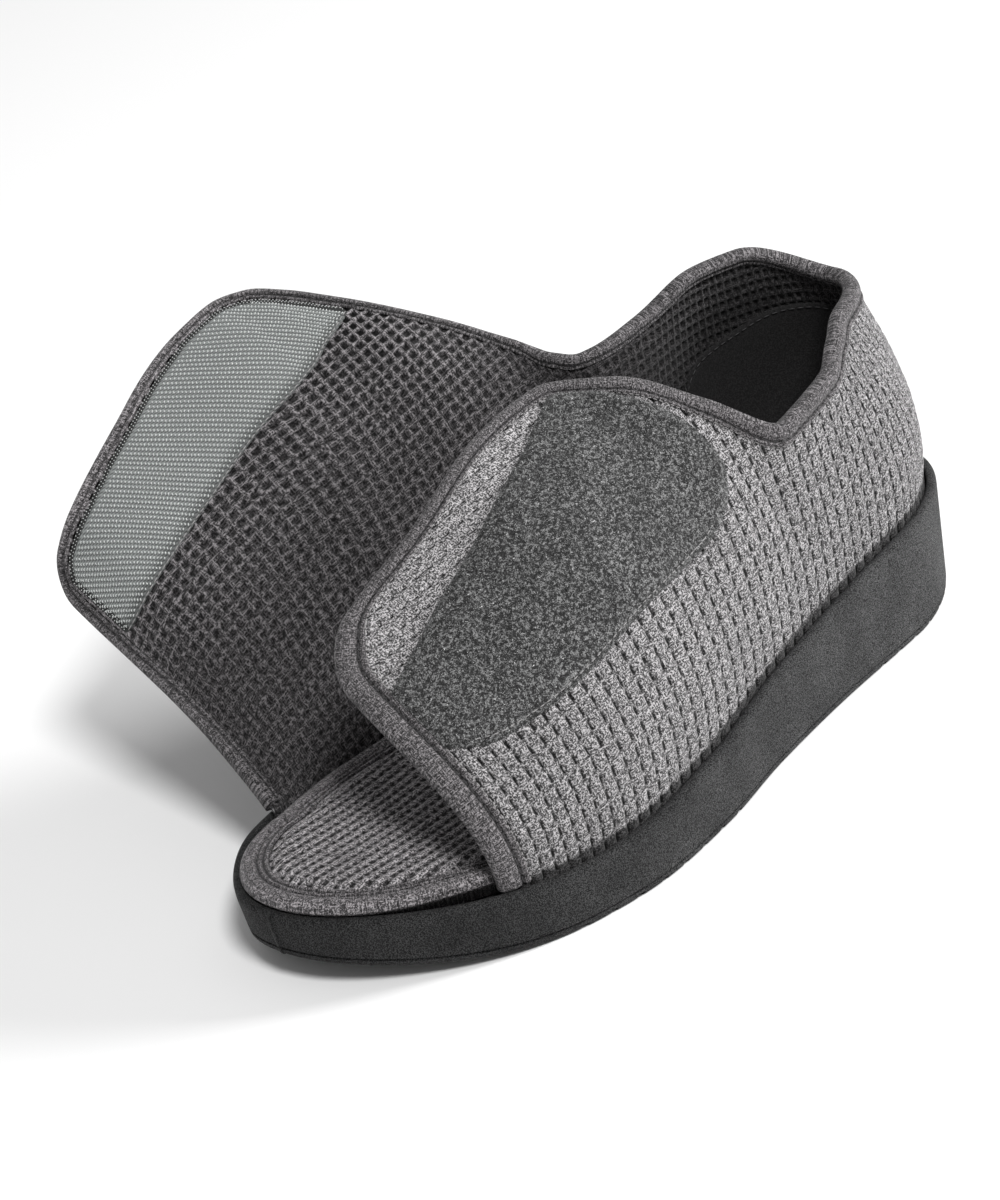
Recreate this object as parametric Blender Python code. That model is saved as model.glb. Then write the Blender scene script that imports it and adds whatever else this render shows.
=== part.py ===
"""Open-toe slipper for the left foot, with a wide wrap flap laid open.

A moulded wedge sole carries a taped footbed in a recess. A hollow cloth upper
stands in the same recess: its outer quarter wraps over the instep and carries
a loop patch, and its inner quarter runs on into the open flap, which carries a
hook strip on its inside. One tape binds the upper's whole free edge.

Frame: +X to the toe, +Y to the outer side, +Z up. The origin is on the floor
under the middle of the heel. Sizes are in metres.
"""

import math

import bmesh
import bpy
import numpy as np

MM = 0.001

# Driving sizes of the sole
LENGTH = 270 * MM
BALL_WIDTH = 108 * MM
HEEL_CENTRE = 35 * MM
HEEL_HEIGHT = 36.5 * MM
FOREFOOT_HEIGHT = 18.2 * MM
TOE_SPRING = 8.5 * MM
HEEL_BEVEL = 5.0 * MM
TOE_SWING = 9.5 * MM
RIM_WALL = 3.0 * MM
RECESS_DEPTH = 4.0 * MM
WALL_DRAFT = 1.0 * MM
LEDGE_HEIGHT = 2.6 * MM
LEDGE_STEP = 0.6 * MM
GROOVE_WIDTH = 2.4 * MM
GROOVE_DEPTH = 1.4 * MM
GROOVE_PITCH = 9.0 * MM

# Driving sizes of the footbed and its tape
FOOTBED_PROUD = 3.6 * MM
FOOTBED_TAPE = 1.1 * MM
FOOTBED_TAPE_WIDTH = 8.0 * MM
TOE_MARGIN = 1.0 * MM

# Driving sizes of the upper, its tape and its fastening
WALL = 2.6 * MM
THROAT_HEIGHT = 85 * MM
STAND = 5.2 * MM
EDGE_TAPE = 1.0 * MM
EDGE_TAPE_WIDTH = 7.5 * MM
PANEL_CORNER = 15 * MM
FLAP_CORNER = 9 * MM
LOOP_PILE = 1.3 * MM
HOOK_STRIP = 1.0 * MM
PATCH_MARGIN = 0.9 * MM

# Clearances and the fineness of the faceted surfaces
GAP = 0.35 * MM
TAPE_GAP = 0.5 * MM
RIM_CLEARANCE = 0.5 * MM
STATIONS = 31
WALL_COLUMNS = 92
WALL_ROWS = 12
BEND = 12 * MM
TWIST = 30 * MM

LATERAL = 1
MEDIAL = -1

# Half widths of the sole's plan, as shares of BALL_WIDTH, before the ends are rounded
PLAN = (
    # station, lateral, medial
    (0.00, 0.328, 0.337),
    (0.08, 0.340, 0.350),
    (0.18, 0.365, 0.357),
    (0.32, 0.388, 0.318),
    (0.46, 0.430, 0.315),
    (0.58, 0.487, 0.393),
    (0.68, 0.507, 0.478),
    (0.78, 0.478, 0.507),
    (0.88, 0.443, 0.492),
    (1.00, 0.380, 0.390),
)
HEEL_ROUND = (0.175, 2.0)
TOE_ROUND = (0.26, 2.2)

# Height of the sole's rim: between the forefoot's height, at 0, and the heel's, at 1
RIM_LINE = (
    # station, share
    (0.00, 0.96),
    (0.14, 0.93),
    (0.35, 0.62),
    (0.60, 0.22),
    (0.80, 0.00),
    (1.00, 0.20),
)

# The sole's outer wall and rim, from the tread up: inset from the plan, and height
# above the tread ("floor") or above the rim line ("rim")
SOLE_WALL = (
    # inset, from, height
    (WALL_DRAFT + 2.4 * MM, "floor", 0.0),
    (WALL_DRAFT + 1.0 * MM, "floor", 0.8 * MM),
    (WALL_DRAFT + LEDGE_STEP * 0.6, "floor", LEDGE_HEIGHT - 0.3 * MM),
    (WALL_DRAFT, "floor", LEDGE_HEIGHT),
    (0.0, "rim", -2.4 * MM),
    (0.3 * MM, "rim", -1.0 * MM),
    (1.2 * MM, "rim", -0.1 * MM),
    (RIM_WALL - 0.5 * MM, "rim", 0.0),
    (RIM_WALL, "rim", -0.6 * MM),
    (RIM_WALL, "rim", -RECESS_DEPTH),
)

# Tread grooves run across the sole between these stations
TREAD_ZONES = ((0.05, 0.27), (0.56, 0.80))

# Sections of the upper, round the foot from its outer front edge by way of the heel to
# the flap's front edge. lead is a share of LENGTH, reach (inwards) a share of
# BALL_WIDTH and rise a share of THROAT_HEIGHT, all at the free edge. foot and edge are
# the wall's lean from the vertical there, in degrees inwards. bow is the lead at half
# height beyond the straight line, a share of LENGTH.
UPPER_SECTIONS = (
    # side, station, lead, reach, rise, foot, edge, bow
    (LATERAL, 0.862, -0.010, 0.492, 0.645, -10, 62, 0.020),
    (LATERAL, 0.750, 0.000, 0.558, 0.792, -8, 70, 0.008),
    (LATERAL, 0.600, 0.000, 0.567, 0.951, -8, 74, 0.000),
    (LATERAL, 0.500, 0.000, 0.505, 0.983, -8, 68, 0.000),
    (LATERAL, 0.445, 0.000, 0.355, 0.947, -6, 58, 0.000),
    (LATERAL, 0.380, 0.000, 0.178, 0.785, -4, 36, 0.000),
    (LATERAL, 0.320, 0.000, 0.047, 0.622, -3, 10, 0.000),
    (LATERAL, 0.220, 0.000, 0.067, 0.623, -5, 14, 0.000),
    (LATERAL, 0.160, 0.000, 0.111, 0.665, -7, 20, 0.000),
    (LATERAL, 0.080, 0.000, 0.152, 0.702, -13, 28, 0.000),
    (LATERAL, 0.000, 0.000, 0.105, 0.712, -7, 24, 0.000),
    (MEDIAL, 0.080, 0.000, 0.102, 0.838, -7, 18, 0.000),
    (MEDIAL, 0.160, 0.000, 0.072, 0.834, -6, 16, 0.000),
    (MEDIAL, 0.260, 0.000, 0.005, 0.792, -5, 2, 0.000),
    (MEDIAL, 0.330, 0.000, -0.063, 0.778, -2, -18, 0.000),
    (MEDIAL, 0.365, -0.018, -0.140, 0.800, -1, -38, 0.000),
    (MEDIAL, 0.400, -0.044, -0.250, 0.853, 0, -56, 0.000),
    (MEDIAL, 0.450, -0.061, -0.455, 0.965, -2, -72, 0.000),
    (MEDIAL, 0.500, -0.074, -0.680, 1.075, -4, -76, 0.000),
    (MEDIAL, 0.530, -0.086, -0.812, 1.116, -5, -78, 0.000),
    (MEDIAL, 0.556, -0.093, -0.893, 1.134, -6, -78, 0.000),
    (MEDIAL, 0.582, -0.090, -0.926, 1.130, -8, -77, 0.000),
    (MEDIAL, 0.615, -0.070, -0.913, 1.090, -12, -75, 0.000),
    (MEDIAL, 0.700, -0.033, -0.830, 0.940, -24, -67, 0.000),
    (MEDIAL, 0.780, -0.024, -0.798, 0.772, -38, -64, 0.000),
    (MEDIAL, 0.854, -0.052, -0.840, 0.555, -50, -62, 0.000),
)
HEEL_AXIS = 0.24
FULLNESS = 1.15

# Where the edge tape ends above the rim, so that it stays clear of the sole
TAPE_FOOT_LATERAL = 1.0 * MM
TAPE_FOOT_MEDIAL = 4.0 * MM

# The loop patch on the outer quarter and the hook strip inside the flap: the shares of
# the section's height between which each lies. Neither runs under the edge tape.
LOOP_PATCH = (
    # station, low, high
    (0.826, 0.540, 0.700),
    (0.818, 0.480, 0.765),
    (0.800, 0.432, 0.812),
    (0.760, 0.405, 0.856),
    (0.700, 0.385, 0.890),
    (0.600, 0.371, 0.900),
    (0.510, 0.386, 0.930),
    (0.470, 0.420, 0.930),
    (0.443, 0.495, 0.900),
    (0.422, 0.600, 0.790),
    (0.414, 0.670, 0.730),
)
HOOK_AREA = (
    # station, low, high
    (0.524, 0.850, 0.870),
    (0.545, 0.780, 1.000),
    (0.571, 0.746, 1.000),
    (0.622, 0.712, 1.000),
    (0.682, 0.696, 1.000),
    (0.739, 0.690, 1.000),
    (0.785, 0.690, 1.000),
    (0.806, 0.690, 0.760),
)

FINISHES = {
    # node: colour, roughness
    "sole": ((0.030, 0.030, 0.032), 0.62),
    "footbed": ((0.170, 0.160, 0.165), 0.95),
    "footbed_tape": ((0.240, 0.230, 0.235), 0.95),
    "upper": ((0.300, 0.290, 0.295), 0.95),
    "edge_tape": ((0.260, 0.250, 0.255), 0.95),
    "loop_patch": ((0.110, 0.108, 0.112), 1.00),
    "hook_strip": ((0.250, 0.265, 0.260), 0.55),
}


def clear_scene():
    """Remove whatever the file holds."""
    for item in list(bpy.data.objects):
        bpy.data.objects.remove(item)


def smooth_line(xs, ys):
    """Return a function through the points that doesn't overshoot them."""
    xs, ys = np.asarray(xs, float), np.asarray(ys, float)
    step = np.diff(xs)
    slope = np.diff(ys) / step
    tangent = np.zeros_like(ys)
    tangent[0], tangent[-1] = slope[0], slope[-1]
    for i in range(1, len(xs) - 1):
        if slope[i - 1] * slope[i] > 0:
            before, after = 2 * step[i] + step[i - 1], step[i] + 2 * step[i - 1]
            tangent[i] = (before + after) / (before / slope[i - 1] + after / slope[i])

    def value(x):
        x = np.asarray(x, float)
        i = np.clip(np.searchsorted(xs, x) - 1, 0, len(step) - 1)
        t = np.clip((x - xs[i]) / step[i], 0, 1)
        ahead, behind = t * t * (3 - 2 * t), 1 - t * t * (3 - 2 * t)
        lift = t * (1 - t) ** 2 * tangent[i] - t * t * (1 - t) * tangent[i + 1]
        return behind * ys[i] + ahead * ys[i + 1] + lift * step[i]

    return value


def column(table, index):
    """Return one column of a table as a list."""
    return [row[index] for row in table]


HALF_WIDTH = {
    LATERAL: smooth_line(column(PLAN, 0), column(PLAN, 1)),
    MEDIAL: smooth_line(column(PLAN, 0), column(PLAN, 2)),
}
RIM_SHARE = smooth_line(column(RIM_LINE, 0), column(RIM_LINE, 1))


def end_round(distance, reach_and_power):
    """Return the share of the width left at a distance from a rounded end."""
    reach, power = reach_and_power
    short = np.clip(1 - distance / reach, 0, 1)
    return (1 - short**power) ** (1 / power)


def plan_point(side, station):
    """Return x and y on the sole's widest outline."""
    station = np.asarray(station, float)
    ends = end_round(station, HEEL_ROUND) * end_round(1 - station, TOE_ROUND)
    swing = TOE_SWING * np.clip((station - 0.7) / 0.3, 0, 1) ** 2
    y = side * HALF_WIDTH[side](station) * BALL_WIDTH * ends - swing
    return np.stack([station * LENGTH - HEEL_CENTRE, y], axis=-1)


def rim_height(station):
    """Return the height of the sole's rim above the floor."""
    return FOREFOOT_HEIGHT + (HEEL_HEIGHT - FOREFOOT_HEIGHT) * RIM_SHARE(station)


def tread_height(station):
    """Return the height of the tread: toe spring in front, a bevel behind the heel."""
    toe = TOE_SPRING * np.clip((station - 0.78) / 0.22, 0, 1) ** 2
    heel = HEEL_BEVEL * np.clip((0.09 - station) / 0.09, 0, 1) ** 2
    return toe + heel


def ring_stations(count=STATIONS):
    """Return the stations of a closed ring, heel to toe and back, with their sides."""
    half = (1 - np.cos(np.linspace(0, math.pi, count))) / 2
    stations = np.concatenate([half, half[-2:0:-1]])
    sides = np.array([LATERAL] * count + [MEDIAL] * (count - 2))
    return stations, sides


def plan_ring(inset, count=STATIONS):
    """Return the plan's outline as a ring of points, moved inwards by the inset."""
    stations, sides = ring_stations(count)
    points = np.array([plan_point(side, s) for s, side in zip(stations, sides)])
    along = np.roll(points, -1, axis=0) - np.roll(points, 1, axis=0)
    inward = np.stack([along[:, 1], -along[:, 0]], axis=1)
    inward /= np.linalg.norm(inward, axis=1)[:, None]
    return points + inward * np.broadcast_to(inset, len(points))[:, None], stations


def finish_of(name):
    """Return a plain material in the piece's colour."""
    colour, roughness = FINISHES[name]
    material = bpy.data.materials.new(name)
    material.use_nodes = True
    shader = material.node_tree.nodes["Principled BSDF"]
    shader.inputs["Base Color"].default_value = (*colour, 1.0)
    shader.inputs["Roughness"].default_value = roughness
    shader.inputs["Metallic"].default_value = 0.0
    return material


def solid(name, points, faces):
    """Make one named object from points and faces, with its faces turned outwards."""
    mesh = bpy.data.meshes.new(name)
    mesh.from_pydata([tuple(p) for p in points], [], faces)
    shape = bmesh.new()
    shape.from_mesh(mesh)
    bmesh.ops.remove_doubles(shape, verts=shape.verts, dist=1e-6)
    quads = [face for face in shape.faces if len(face.verts) > 3]
    bmesh.ops.triangulate(shape, faces=quads, quad_method="SHORT_EDGE")
    bmesh.ops.recalc_face_normals(shape, faces=shape.faces)
    shape.to_mesh(mesh)
    shape.free()
    mesh.shade_smooth()
    mesh.set_sharp_from_angle(angle=math.radians(35))
    mesh.materials.append(finish_of(name))
    item = bpy.data.objects.new(name, mesh)
    bpy.context.scene.collection.objects.link(item)
    return item


def strips(rows, columns, closed=False):
    """Return the quads of a grid of points, row by row."""
    ends = columns if closed else columns - 1
    return [
        (r * columns + c, r * columns + (c + 1) % columns,
         (r + 1) * columns + (c + 1) % columns, (r + 1) * columns + c)
        for r in range(rows - 1)
        for c in range(ends)
    ]


def cap(first, count):
    """Close a ring of points with faces across it, from its two sides."""
    faces = []
    for k in range(count // 2):
        four = [k, k + 1, (count - k - 1) % count, (count - k) % count]
        faces.append([first + i for i in dict.fromkeys(four)])
    return faces


def stacked(name, rings):
    """Make a solid from rings of points, one above the other, with both ends closed."""
    count = len(rings[0])
    faces = strips(len(rings), count, closed=True)
    faces += cap(0, count) + cap((len(rings) - 1) * count, count)
    return solid(name, np.concatenate(rings), faces)


def shell(name, outer, inner):
    """Make a closed wall between two grids of points of the same layout."""
    rows, columns = outer.shape[:2]
    size = rows * columns
    points = np.concatenate([outer.reshape(-1, 3), inner.reshape(-1, 3)])
    faces = strips(rows, columns)
    faces += [[i + size for i in reversed(face)] for face in faces]
    border = [c for c in range(columns)]
    border += [r * columns + columns - 1 for r in range(1, rows)]
    border += [(rows - 1) * columns + c for c in range(columns - 2, -1, -1)]
    border += [r * columns for r in range(rows - 2, 0, -1)]
    for here, after in zip(border, border[1:] + border[:1]):
        faces.append([here, here + size, after + size, after])
    return solid(name, points, faces)


def ring_at(inset, height):
    """Return a ring of 3-D points with an inset and a height for each station."""
    points, stations = plan_ring(inset)
    z = height(stations) if callable(height) else height
    return np.column_stack([points, z])


def make_sole():
    """The moulded unit sole: wedge, rim, recess and tread."""
    level = {"floor": tread_height, "rim": rim_height}
    rings = [
        ring_at(inset, lambda s, base=base, up=up: level[base](s) + up)
        for inset, base, up in SOLE_WALL
    ]
    sole = stacked("sole", rings)
    cutter = make_tread_cutter()
    cut = sole.modifiers.new("tread", "BOOLEAN")
    cut.operation = "DIFFERENCE"
    cut.object = cutter
    return sole


def make_tread_cutter():
    """Bars across the sole, as deep as the tread's grooves."""
    points, faces = [], []
    side = BALL_WIDTH
    for start, end in TREAD_ZONES:
        count = int((end - start) * LENGTH // GROOVE_PITCH)
        for k in range(count + 1):
            middle = start * LENGTH + k * GROOVE_PITCH - HEEL_CENTRE
            floor = float(tread_height((middle + HEEL_CENTRE) / LENGTH))
            first = len(points)
            points += [
                (middle + dx, dy, floor + dz)
                for dx in (-GROOVE_WIDTH / 2, GROOVE_WIDTH / 2)
                for dy in (-side, side)
                for dz in (-GROOVE_DEPTH, GROOVE_DEPTH)
            ]
            box = ((0, 1, 3, 2), (4, 6, 7, 5), (0, 4, 5, 1), (2, 3, 7, 6), (0, 2, 6, 4), (1, 5, 7, 3))
            faces += [[first + i for i in face] for face in box]
    mesh = bpy.data.meshes.new("tread_cutter")
    mesh.from_pydata(points, [], faces)
    cutter = bpy.data.objects.new("tread_cutter", mesh)
    bpy.context.scene.collection.objects.link(cutter)
    cutter.hide_render = True
    cutter.display_type = "WIRE"
    return cutter


def footbed_inset():
    """Return the footbed's inset: near the rim at the open toe, inside the upper behind."""
    stations, sides = ring_stations()
    front = np.where(sides == LATERAL, UPPER_SECTIONS[0][1], UPPER_SECTIONS[-1][1])
    open_toe = RIM_WALL + TOE_MARGIN
    covered = RIM_WALL + RIM_CLEARANCE + WALL + TAPE_GAP + EDGE_TAPE + GAP + 1.2 * MM
    share = np.clip((stations - front) / (0.975 - front), 0, 1)
    return covered + (open_toe - covered) * share * share * (3 - 2 * share)


def make_footbed():
    """The padded footbed in the sole's recess, without its edge tape."""
    edge = footbed_inset() + FOOTBED_TAPE + GAP
    top = FOOTBED_PROUD - FOOTBED_TAPE - GAP

    def under(s):
        return rim_height(s) - RECESS_DEPTH + GAP

    def over(s):
        return rim_height(s) + top

    rings = [
        ring_at(edge, under),
        ring_at(edge, over),
        ring_at(edge + FOOTBED_TAPE_WIDTH, over),
        ring_at(edge + FOOTBED_TAPE_WIDTH + 2 * MM, lambda s: over(s) + 1.2 * MM),
    ]
    return stacked("footbed", rings)


def make_footbed_tape():
    """The tape bound round the footbed's top edge."""
    edge = footbed_inset()
    reach = FOOTBED_TAPE_WIDTH
    thick = FOOTBED_TAPE
    outer = ((reach, 0.0), (0.9 * MM, 0.0), (0.0, -0.9 * MM), (0.0, -RECESS_DEPTH - FOOTBED_PROUD + 2 * GAP))
    inner = ((reach, -thick), (thick + 0.2 * MM, -thick), (thick, -thick - 0.2 * MM), (thick, outer[-1][1]))
    rings = [
        ring_at(edge + inset, lambda s, up=up: rim_height(s) + FOOTBED_PROUD + up)
        for inset, up in outer + inner[::-1]
    ]
    count = len(rings[0])
    faces = strips(len(rings), count, closed=True)
    last = (len(rings) - 1) * count
    for k in range(count):
        after = (k + 1) % count
        faces.append((last + k, last + after, after, k))
    return solid("footbed_tape", np.concatenate(rings), faces)


class UpperSurface:
    """The middle of the upper's cloth wall, as a function of place and height.

    along is the distance round the foot at the wall's base, from the outer front
    edge by way of the heel. up is the share of the section's height: 0 at the top
    of the upright stand and 1 at the section's full height.
    """

    def __init__(self):
        """Lay the base line round the sole and read the table of sections along it."""
        first, last = UPPER_SECTIONS[0][1], UPPER_SECTIONS[-1][1]
        points, stations = plan_ring(RIM_WALL + RIM_CLEARANCE + WALL / 2, count=2401)
        _, sides = ring_stations(2401)
        signed = -stations * sides
        order = np.argsort(signed, kind="stable")
        order = order[(signed[order] >= -first) & (signed[order] <= last)]
        self.signed, self.base = signed[order], points[order]
        steps = np.linalg.norm(np.diff(self.base, axis=0), axis=1)
        self.length = np.concatenate([[0], np.cumsum(steps)])
        self.total = self.length[-1]
        places = [self.place(row[0], row[1]) for row in UPPER_SECTIONS]
        scales = (LENGTH, BALL_WIDTH, THROAT_HEIGHT, math.pi / 180, math.pi / 180, LENGTH)
        self.rows = [
            smooth_line(places, np.array(column(UPPER_SECTIONS, k + 2)) * scale)
            for k, scale in enumerate(scales)
        ]

    def place(self, side, station):
        """Return the distance along the base line of a side and station."""
        return float(np.interp(-side * station, self.signed, self.length))

    def foot(self, along):
        """Return the base point, the inward direction and the station."""
        x = np.interp(along, self.length, self.base[:, 0])
        y = np.interp(along, self.length, self.base[:, 1])
        station = np.abs(np.interp(along, self.length, self.signed))
        centre = np.maximum(x, HEEL_AXIS * LENGTH - HEEL_CENTRE)
        inward = np.stack([centre - x, -y], axis=-1)
        inward /= np.linalg.norm(inward, axis=-1)[..., None]
        return x, y, station, inward

    def pull(self, along):
        """Return how strongly a section sets off from its stand."""
        return FULLNESS * np.hypot(self.rows[1](along), self.rows[2](along))

    def bottom(self, along):
        """Return the share at the bottom of the stand, which is below 0."""
        return -STAND / self.pull(along)

    def point(self, along, up):
        """Return the point of the wall's middle; up below 0 goes down the stand."""
        along, up = np.broadcast_arrays(np.asarray(along, float), np.asarray(up, float))
        x, y, station, inward = self.foot(along)
        lead, reach, rise, foot, edge, bow = (row(along) for row in self.rows)
        t = np.clip(up, 0, None)
        pull = self.pull(along)
        ahead = t * t * (3 - 2 * t)
        start, stop = t * (1 - t) ** 2, t * t * (t - 1)
        inside = ahead * reach + pull * (start * np.sin(foot) + stop * np.sin(edge))
        height = ahead * rise + pull * (start * np.cos(foot) + stop * np.cos(edge))
        forward = t * lead + 4 * t * (1 - t) * bow
        bottom = rim_height(station) - RECESS_DEPTH + GAP
        z = bottom + STAND + height + np.minimum(up, 0) * pull
        return np.stack([x + inward[..., 0] * inside + forward, y + inward[..., 1] * inside, z], axis=-1)

    def slopes(self, along, up):
        """Return the wall's two tangents and its outward normal."""
        du, da = 0.006, 0.5 * MM
        a0, a1 = np.clip(along - da, 0, self.total), np.clip(along + da, 0, self.total)
        side = (self.point(a1, up) - self.point(a0, up)) / (a1 - a0)[..., None]
        rise = (self.point(along, up + du) - self.point(along, up - du)) / (2 * du)
        normal = np.cross(side, rise)
        return side, rise, normal / np.linalg.norm(normal, axis=-1)[..., None]

    def moved(self, along, up, outward):
        """Return the wall's point moved along its normal."""
        along, up = np.broadcast_arrays(np.asarray(along, float), np.asarray(up, float))
        _, _, normal = self.slopes(along, up)
        return self.point(along, up) + normal * np.asarray(outward)[..., None]

    def nearest(self, target, along, up):
        """Return the place and height of the wall under each target, from a first guess."""
        for _ in range(4):
            side, rise, _ = self.slopes(along, up)
            miss = target - self.point(along, up)
            ss, sr, rr = (side * side).sum(-1), (side * rise).sum(-1), (rise * rise).sum(-1)
            ms, mr = (miss * side).sum(-1), (miss * rise).sum(-1)
            area = ss * rr - sr * sr
            along = np.clip(along + (ms * rr - mr * sr) / area, 0, self.total)
            up = up + (mr * ss - ms * sr) / area
        return along, up

    def section_length(self, along):
        """Return the length of a section's curve above the stand."""
        heights = np.linspace(0, 1, 41)
        line = self.point(np.full(41, along), heights)
        return float(np.linalg.norm(np.diff(line, axis=0), axis=1).sum())

    def top(self, along):
        """Return the free edge as a share of the section, with its two front corners round."""
        along = np.asarray(along, float)
        limit = np.ones_like(along)
        for end, radius in ((0.0, PANEL_CORNER), (self.total, FLAP_CORNER)):
            near = np.clip(np.abs(along - end), 0, radius)
            drop = radius - np.sqrt(radius**2 - (radius - near) ** 2)
            limit = limit - drop / self.section_length(end)
        return limit


def spaced(path, count, bend=0.0):
    """Return the indexes of evenly spaced points on a dense path, closer where it bends.

    bend is the length that one radian of turning counts for.
    """
    moves = np.diff(path, axis=0)
    steps = np.linalg.norm(moves, axis=1)
    heading = moves / steps[:, None]
    turns = np.linalg.norm(np.diff(heading, axis=0, prepend=heading[:1]), axis=1)
    length = np.concatenate([[0], np.cumsum(steps + bend * turns)])
    return np.interp(np.linspace(0, length[-1], count), length, np.arange(len(path)))


def wall_places(surface):
    """Return the places of the wall's columns, closer where the free edge runs long."""
    dense = np.linspace(0, surface.total, 401)
    edge = surface.point(dense, surface.top(dense))
    _, _, normal = surface.slopes(dense, surface.top(dense))
    both = np.concatenate([edge, surface.point(dense, 0.0) * 0.7, normal * TWIST], axis=1)
    return np.interp(spaced(both, WALL_COLUMNS, BEND), np.arange(len(dense)), dense)


def row_shares():
    """Return the wall's rows as shares of its height, closer towards the free edge."""
    return 1 - np.linspace(1, 0, WALL_ROWS) ** 1.25


def make_upper(surface):
    """The hollow cloth wall, open at the collar, toe and flap, and underneath."""
    along = wall_places(surface)
    places, shares = np.meshgrid(along, row_shares(), indexing="ij")
    heights = shares * surface.top(along)[:, None]
    places = np.column_stack([along, places])
    heights = np.column_stack([surface.bottom(along), heights])
    outer = surface.moved(places, heights, np.full(places.shape, WALL / 2))
    inner = surface.moved(places, heights, np.full(places.shape, -WALL / 2))
    return shell("upper", outer, inner)


def free_edge(surface):
    """Return the places and heights of the free edge at the wall's own columns and rows."""
    def climb(end, foot):
        low = (RECESS_DEPTH - GAP + foot - STAND) / surface.pull(end)
        rows = float(surface.top(end)) * row_shares()[:-1]
        return np.concatenate([[low], rows[rows > low + 0.02]])

    rise, fall = climb(0.0, TAPE_FOOT_LATERAL), climb(surface.total, TAPE_FOOT_MEDIAL)[::-1]
    across = wall_places(surface)
    along = np.concatenate([np.zeros(len(rise)), across, np.full(len(fall), surface.total)])
    return along, np.concatenate([rise, surface.top(across), fall])


def make_edge_tape(surface):
    """The tape folded over the upper's free edge, with a leg on each face."""
    along, up = free_edge(surface)
    _, _, normal = surface.slopes(along, up)
    edge = surface.point(along, up)
    ahead = np.diff(edge, axis=0)
    ahead /= np.linalg.norm(ahead, axis=1)[:, None]
    before, after = np.vstack([ahead[:1], ahead]), np.vstack([ahead, ahead[-1:]])
    run = before + after
    run /= np.linalg.norm(run, axis=1)[:, None]
    into = np.cross(run, normal)
    into /= (np.linalg.norm(into, axis=1) * (run * after).sum(axis=1))[:, None]
    under, over = WALL / 2 + TAPE_GAP, WALL / 2 + TAPE_GAP + EDGE_TAPE
    fold = TAPE_GAP + EDGE_TAPE

    def leg(distance, outward):
        there = surface.nearest(edge + into * distance, along, up)
        return surface.moved(*there, np.full(len(along), outward))

    def beyond(distance, outward):
        return edge - into * distance + normal * outward

    width = EDGE_TAPE_WIDTH
    outer = [leg(width, over), leg(width / 2, over), beyond(0.0, over), beyond(fold, 0.0)]
    outer += [beyond(0.0, -over), leg(width / 2, -over), leg(width, -over)]
    inner = [leg(width, under), leg(width / 2, under), beyond(TAPE_GAP, under)]
    inner += [beyond(TAPE_GAP, 0.0), beyond(TAPE_GAP, -under)]
    inner += [leg(width / 2, -under), leg(width, -under)]
    return shell("edge_tape", np.stack(outer, axis=1), np.stack(inner, axis=1))


def clear_of_tape(surface, along):
    """Return how high up a section reaches before it meets the edge tape."""
    corners = surface.point(*free_edge(surface))
    part_way = np.linspace(0, 1, 8, endpoint=False)[:, None, None]
    edge = (corners[:-1] + (corners[1:] - corners[:-1]) * part_way).reshape(-1, 3)
    heights = np.linspace(0.3, 1.0, 141)
    highest = []
    for place in along:
        line = surface.point(np.full(141, place), heights)
        away = np.linalg.norm(line[:, None] - edge[None], axis=2).min(axis=1)
        clear = heights[away > EDGE_TAPE_WIDTH + PATCH_MARGIN]
        highest.append(clear.max() if len(clear) else heights[away.argmax()])
    return np.array(highest)


def make_patch(name, surface, side, table, face, thick, rows, columns):
    """A thin piece laid on one face of the wall, between two heights at each station."""
    places = np.array([surface.place(side, row[0]) for row in table])
    order = np.argsort(places)
    low = smooth_line(places[order], np.array(column(table, 1))[order])
    high = smooth_line(places[order], np.array(column(table, 2))[order])
    middle, half = (places.min() + places.max()) / 2, np.ptp(places) / 2
    along = middle - half * np.cos(np.linspace(0, math.pi, rows))
    above = np.minimum(high(along), clear_of_tape(surface, along))
    below = np.minimum(low(along), above - 0.02)
    heights = below[:, None] + (above - below)[:, None] * np.linspace(0, 1, columns)[None]
    along = np.repeat(along[:, None], columns, axis=1)
    near = face * (WALL / 2 + GAP)
    outer = surface.moved(along, heights, np.full(heights.shape, near + face * thick))
    inner = surface.moved(along, heights, np.full(heights.shape, near))
    return shell(name, outer, inner)


def build():
    """Build every piece of the slipper."""
    clear_scene()
    surface = UpperSurface()
    make_sole()
    make_footbed()
    make_footbed_tape()
    make_upper(surface)
    make_edge_tape(surface)
    make_patch("loop_patch", surface, LATERAL, LOOP_PATCH, 1, LOOP_PILE, rows=16, columns=8)
    make_patch("hook_strip", surface, MEDIAL, HOOK_AREA, -1, HOOK_STRIP, rows=14, columns=5)


build()
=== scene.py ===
"""Looks of an open-toe slipper with its wrap flap laid open.

The knit cloth, its lining, the binding tape, the fastening, the footbed and the
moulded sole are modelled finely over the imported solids, each by a class of its own.
Sizes are in metres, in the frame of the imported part: +X to the toe, +Y to the outer
side, +Z up, with the origin on the floor under the middle of the heel.
"""

import logging
import math
from dataclasses import dataclass, field
from enum import Enum
from typing import Callable, Iterable, NamedTuple, Optional, Sequence

import bmesh
import bpy
import numpy as np
from bpy.types import Material, Mesh, Modifier, Node, NodeSocket, Object
from mathutils import Matrix, Vector


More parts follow.
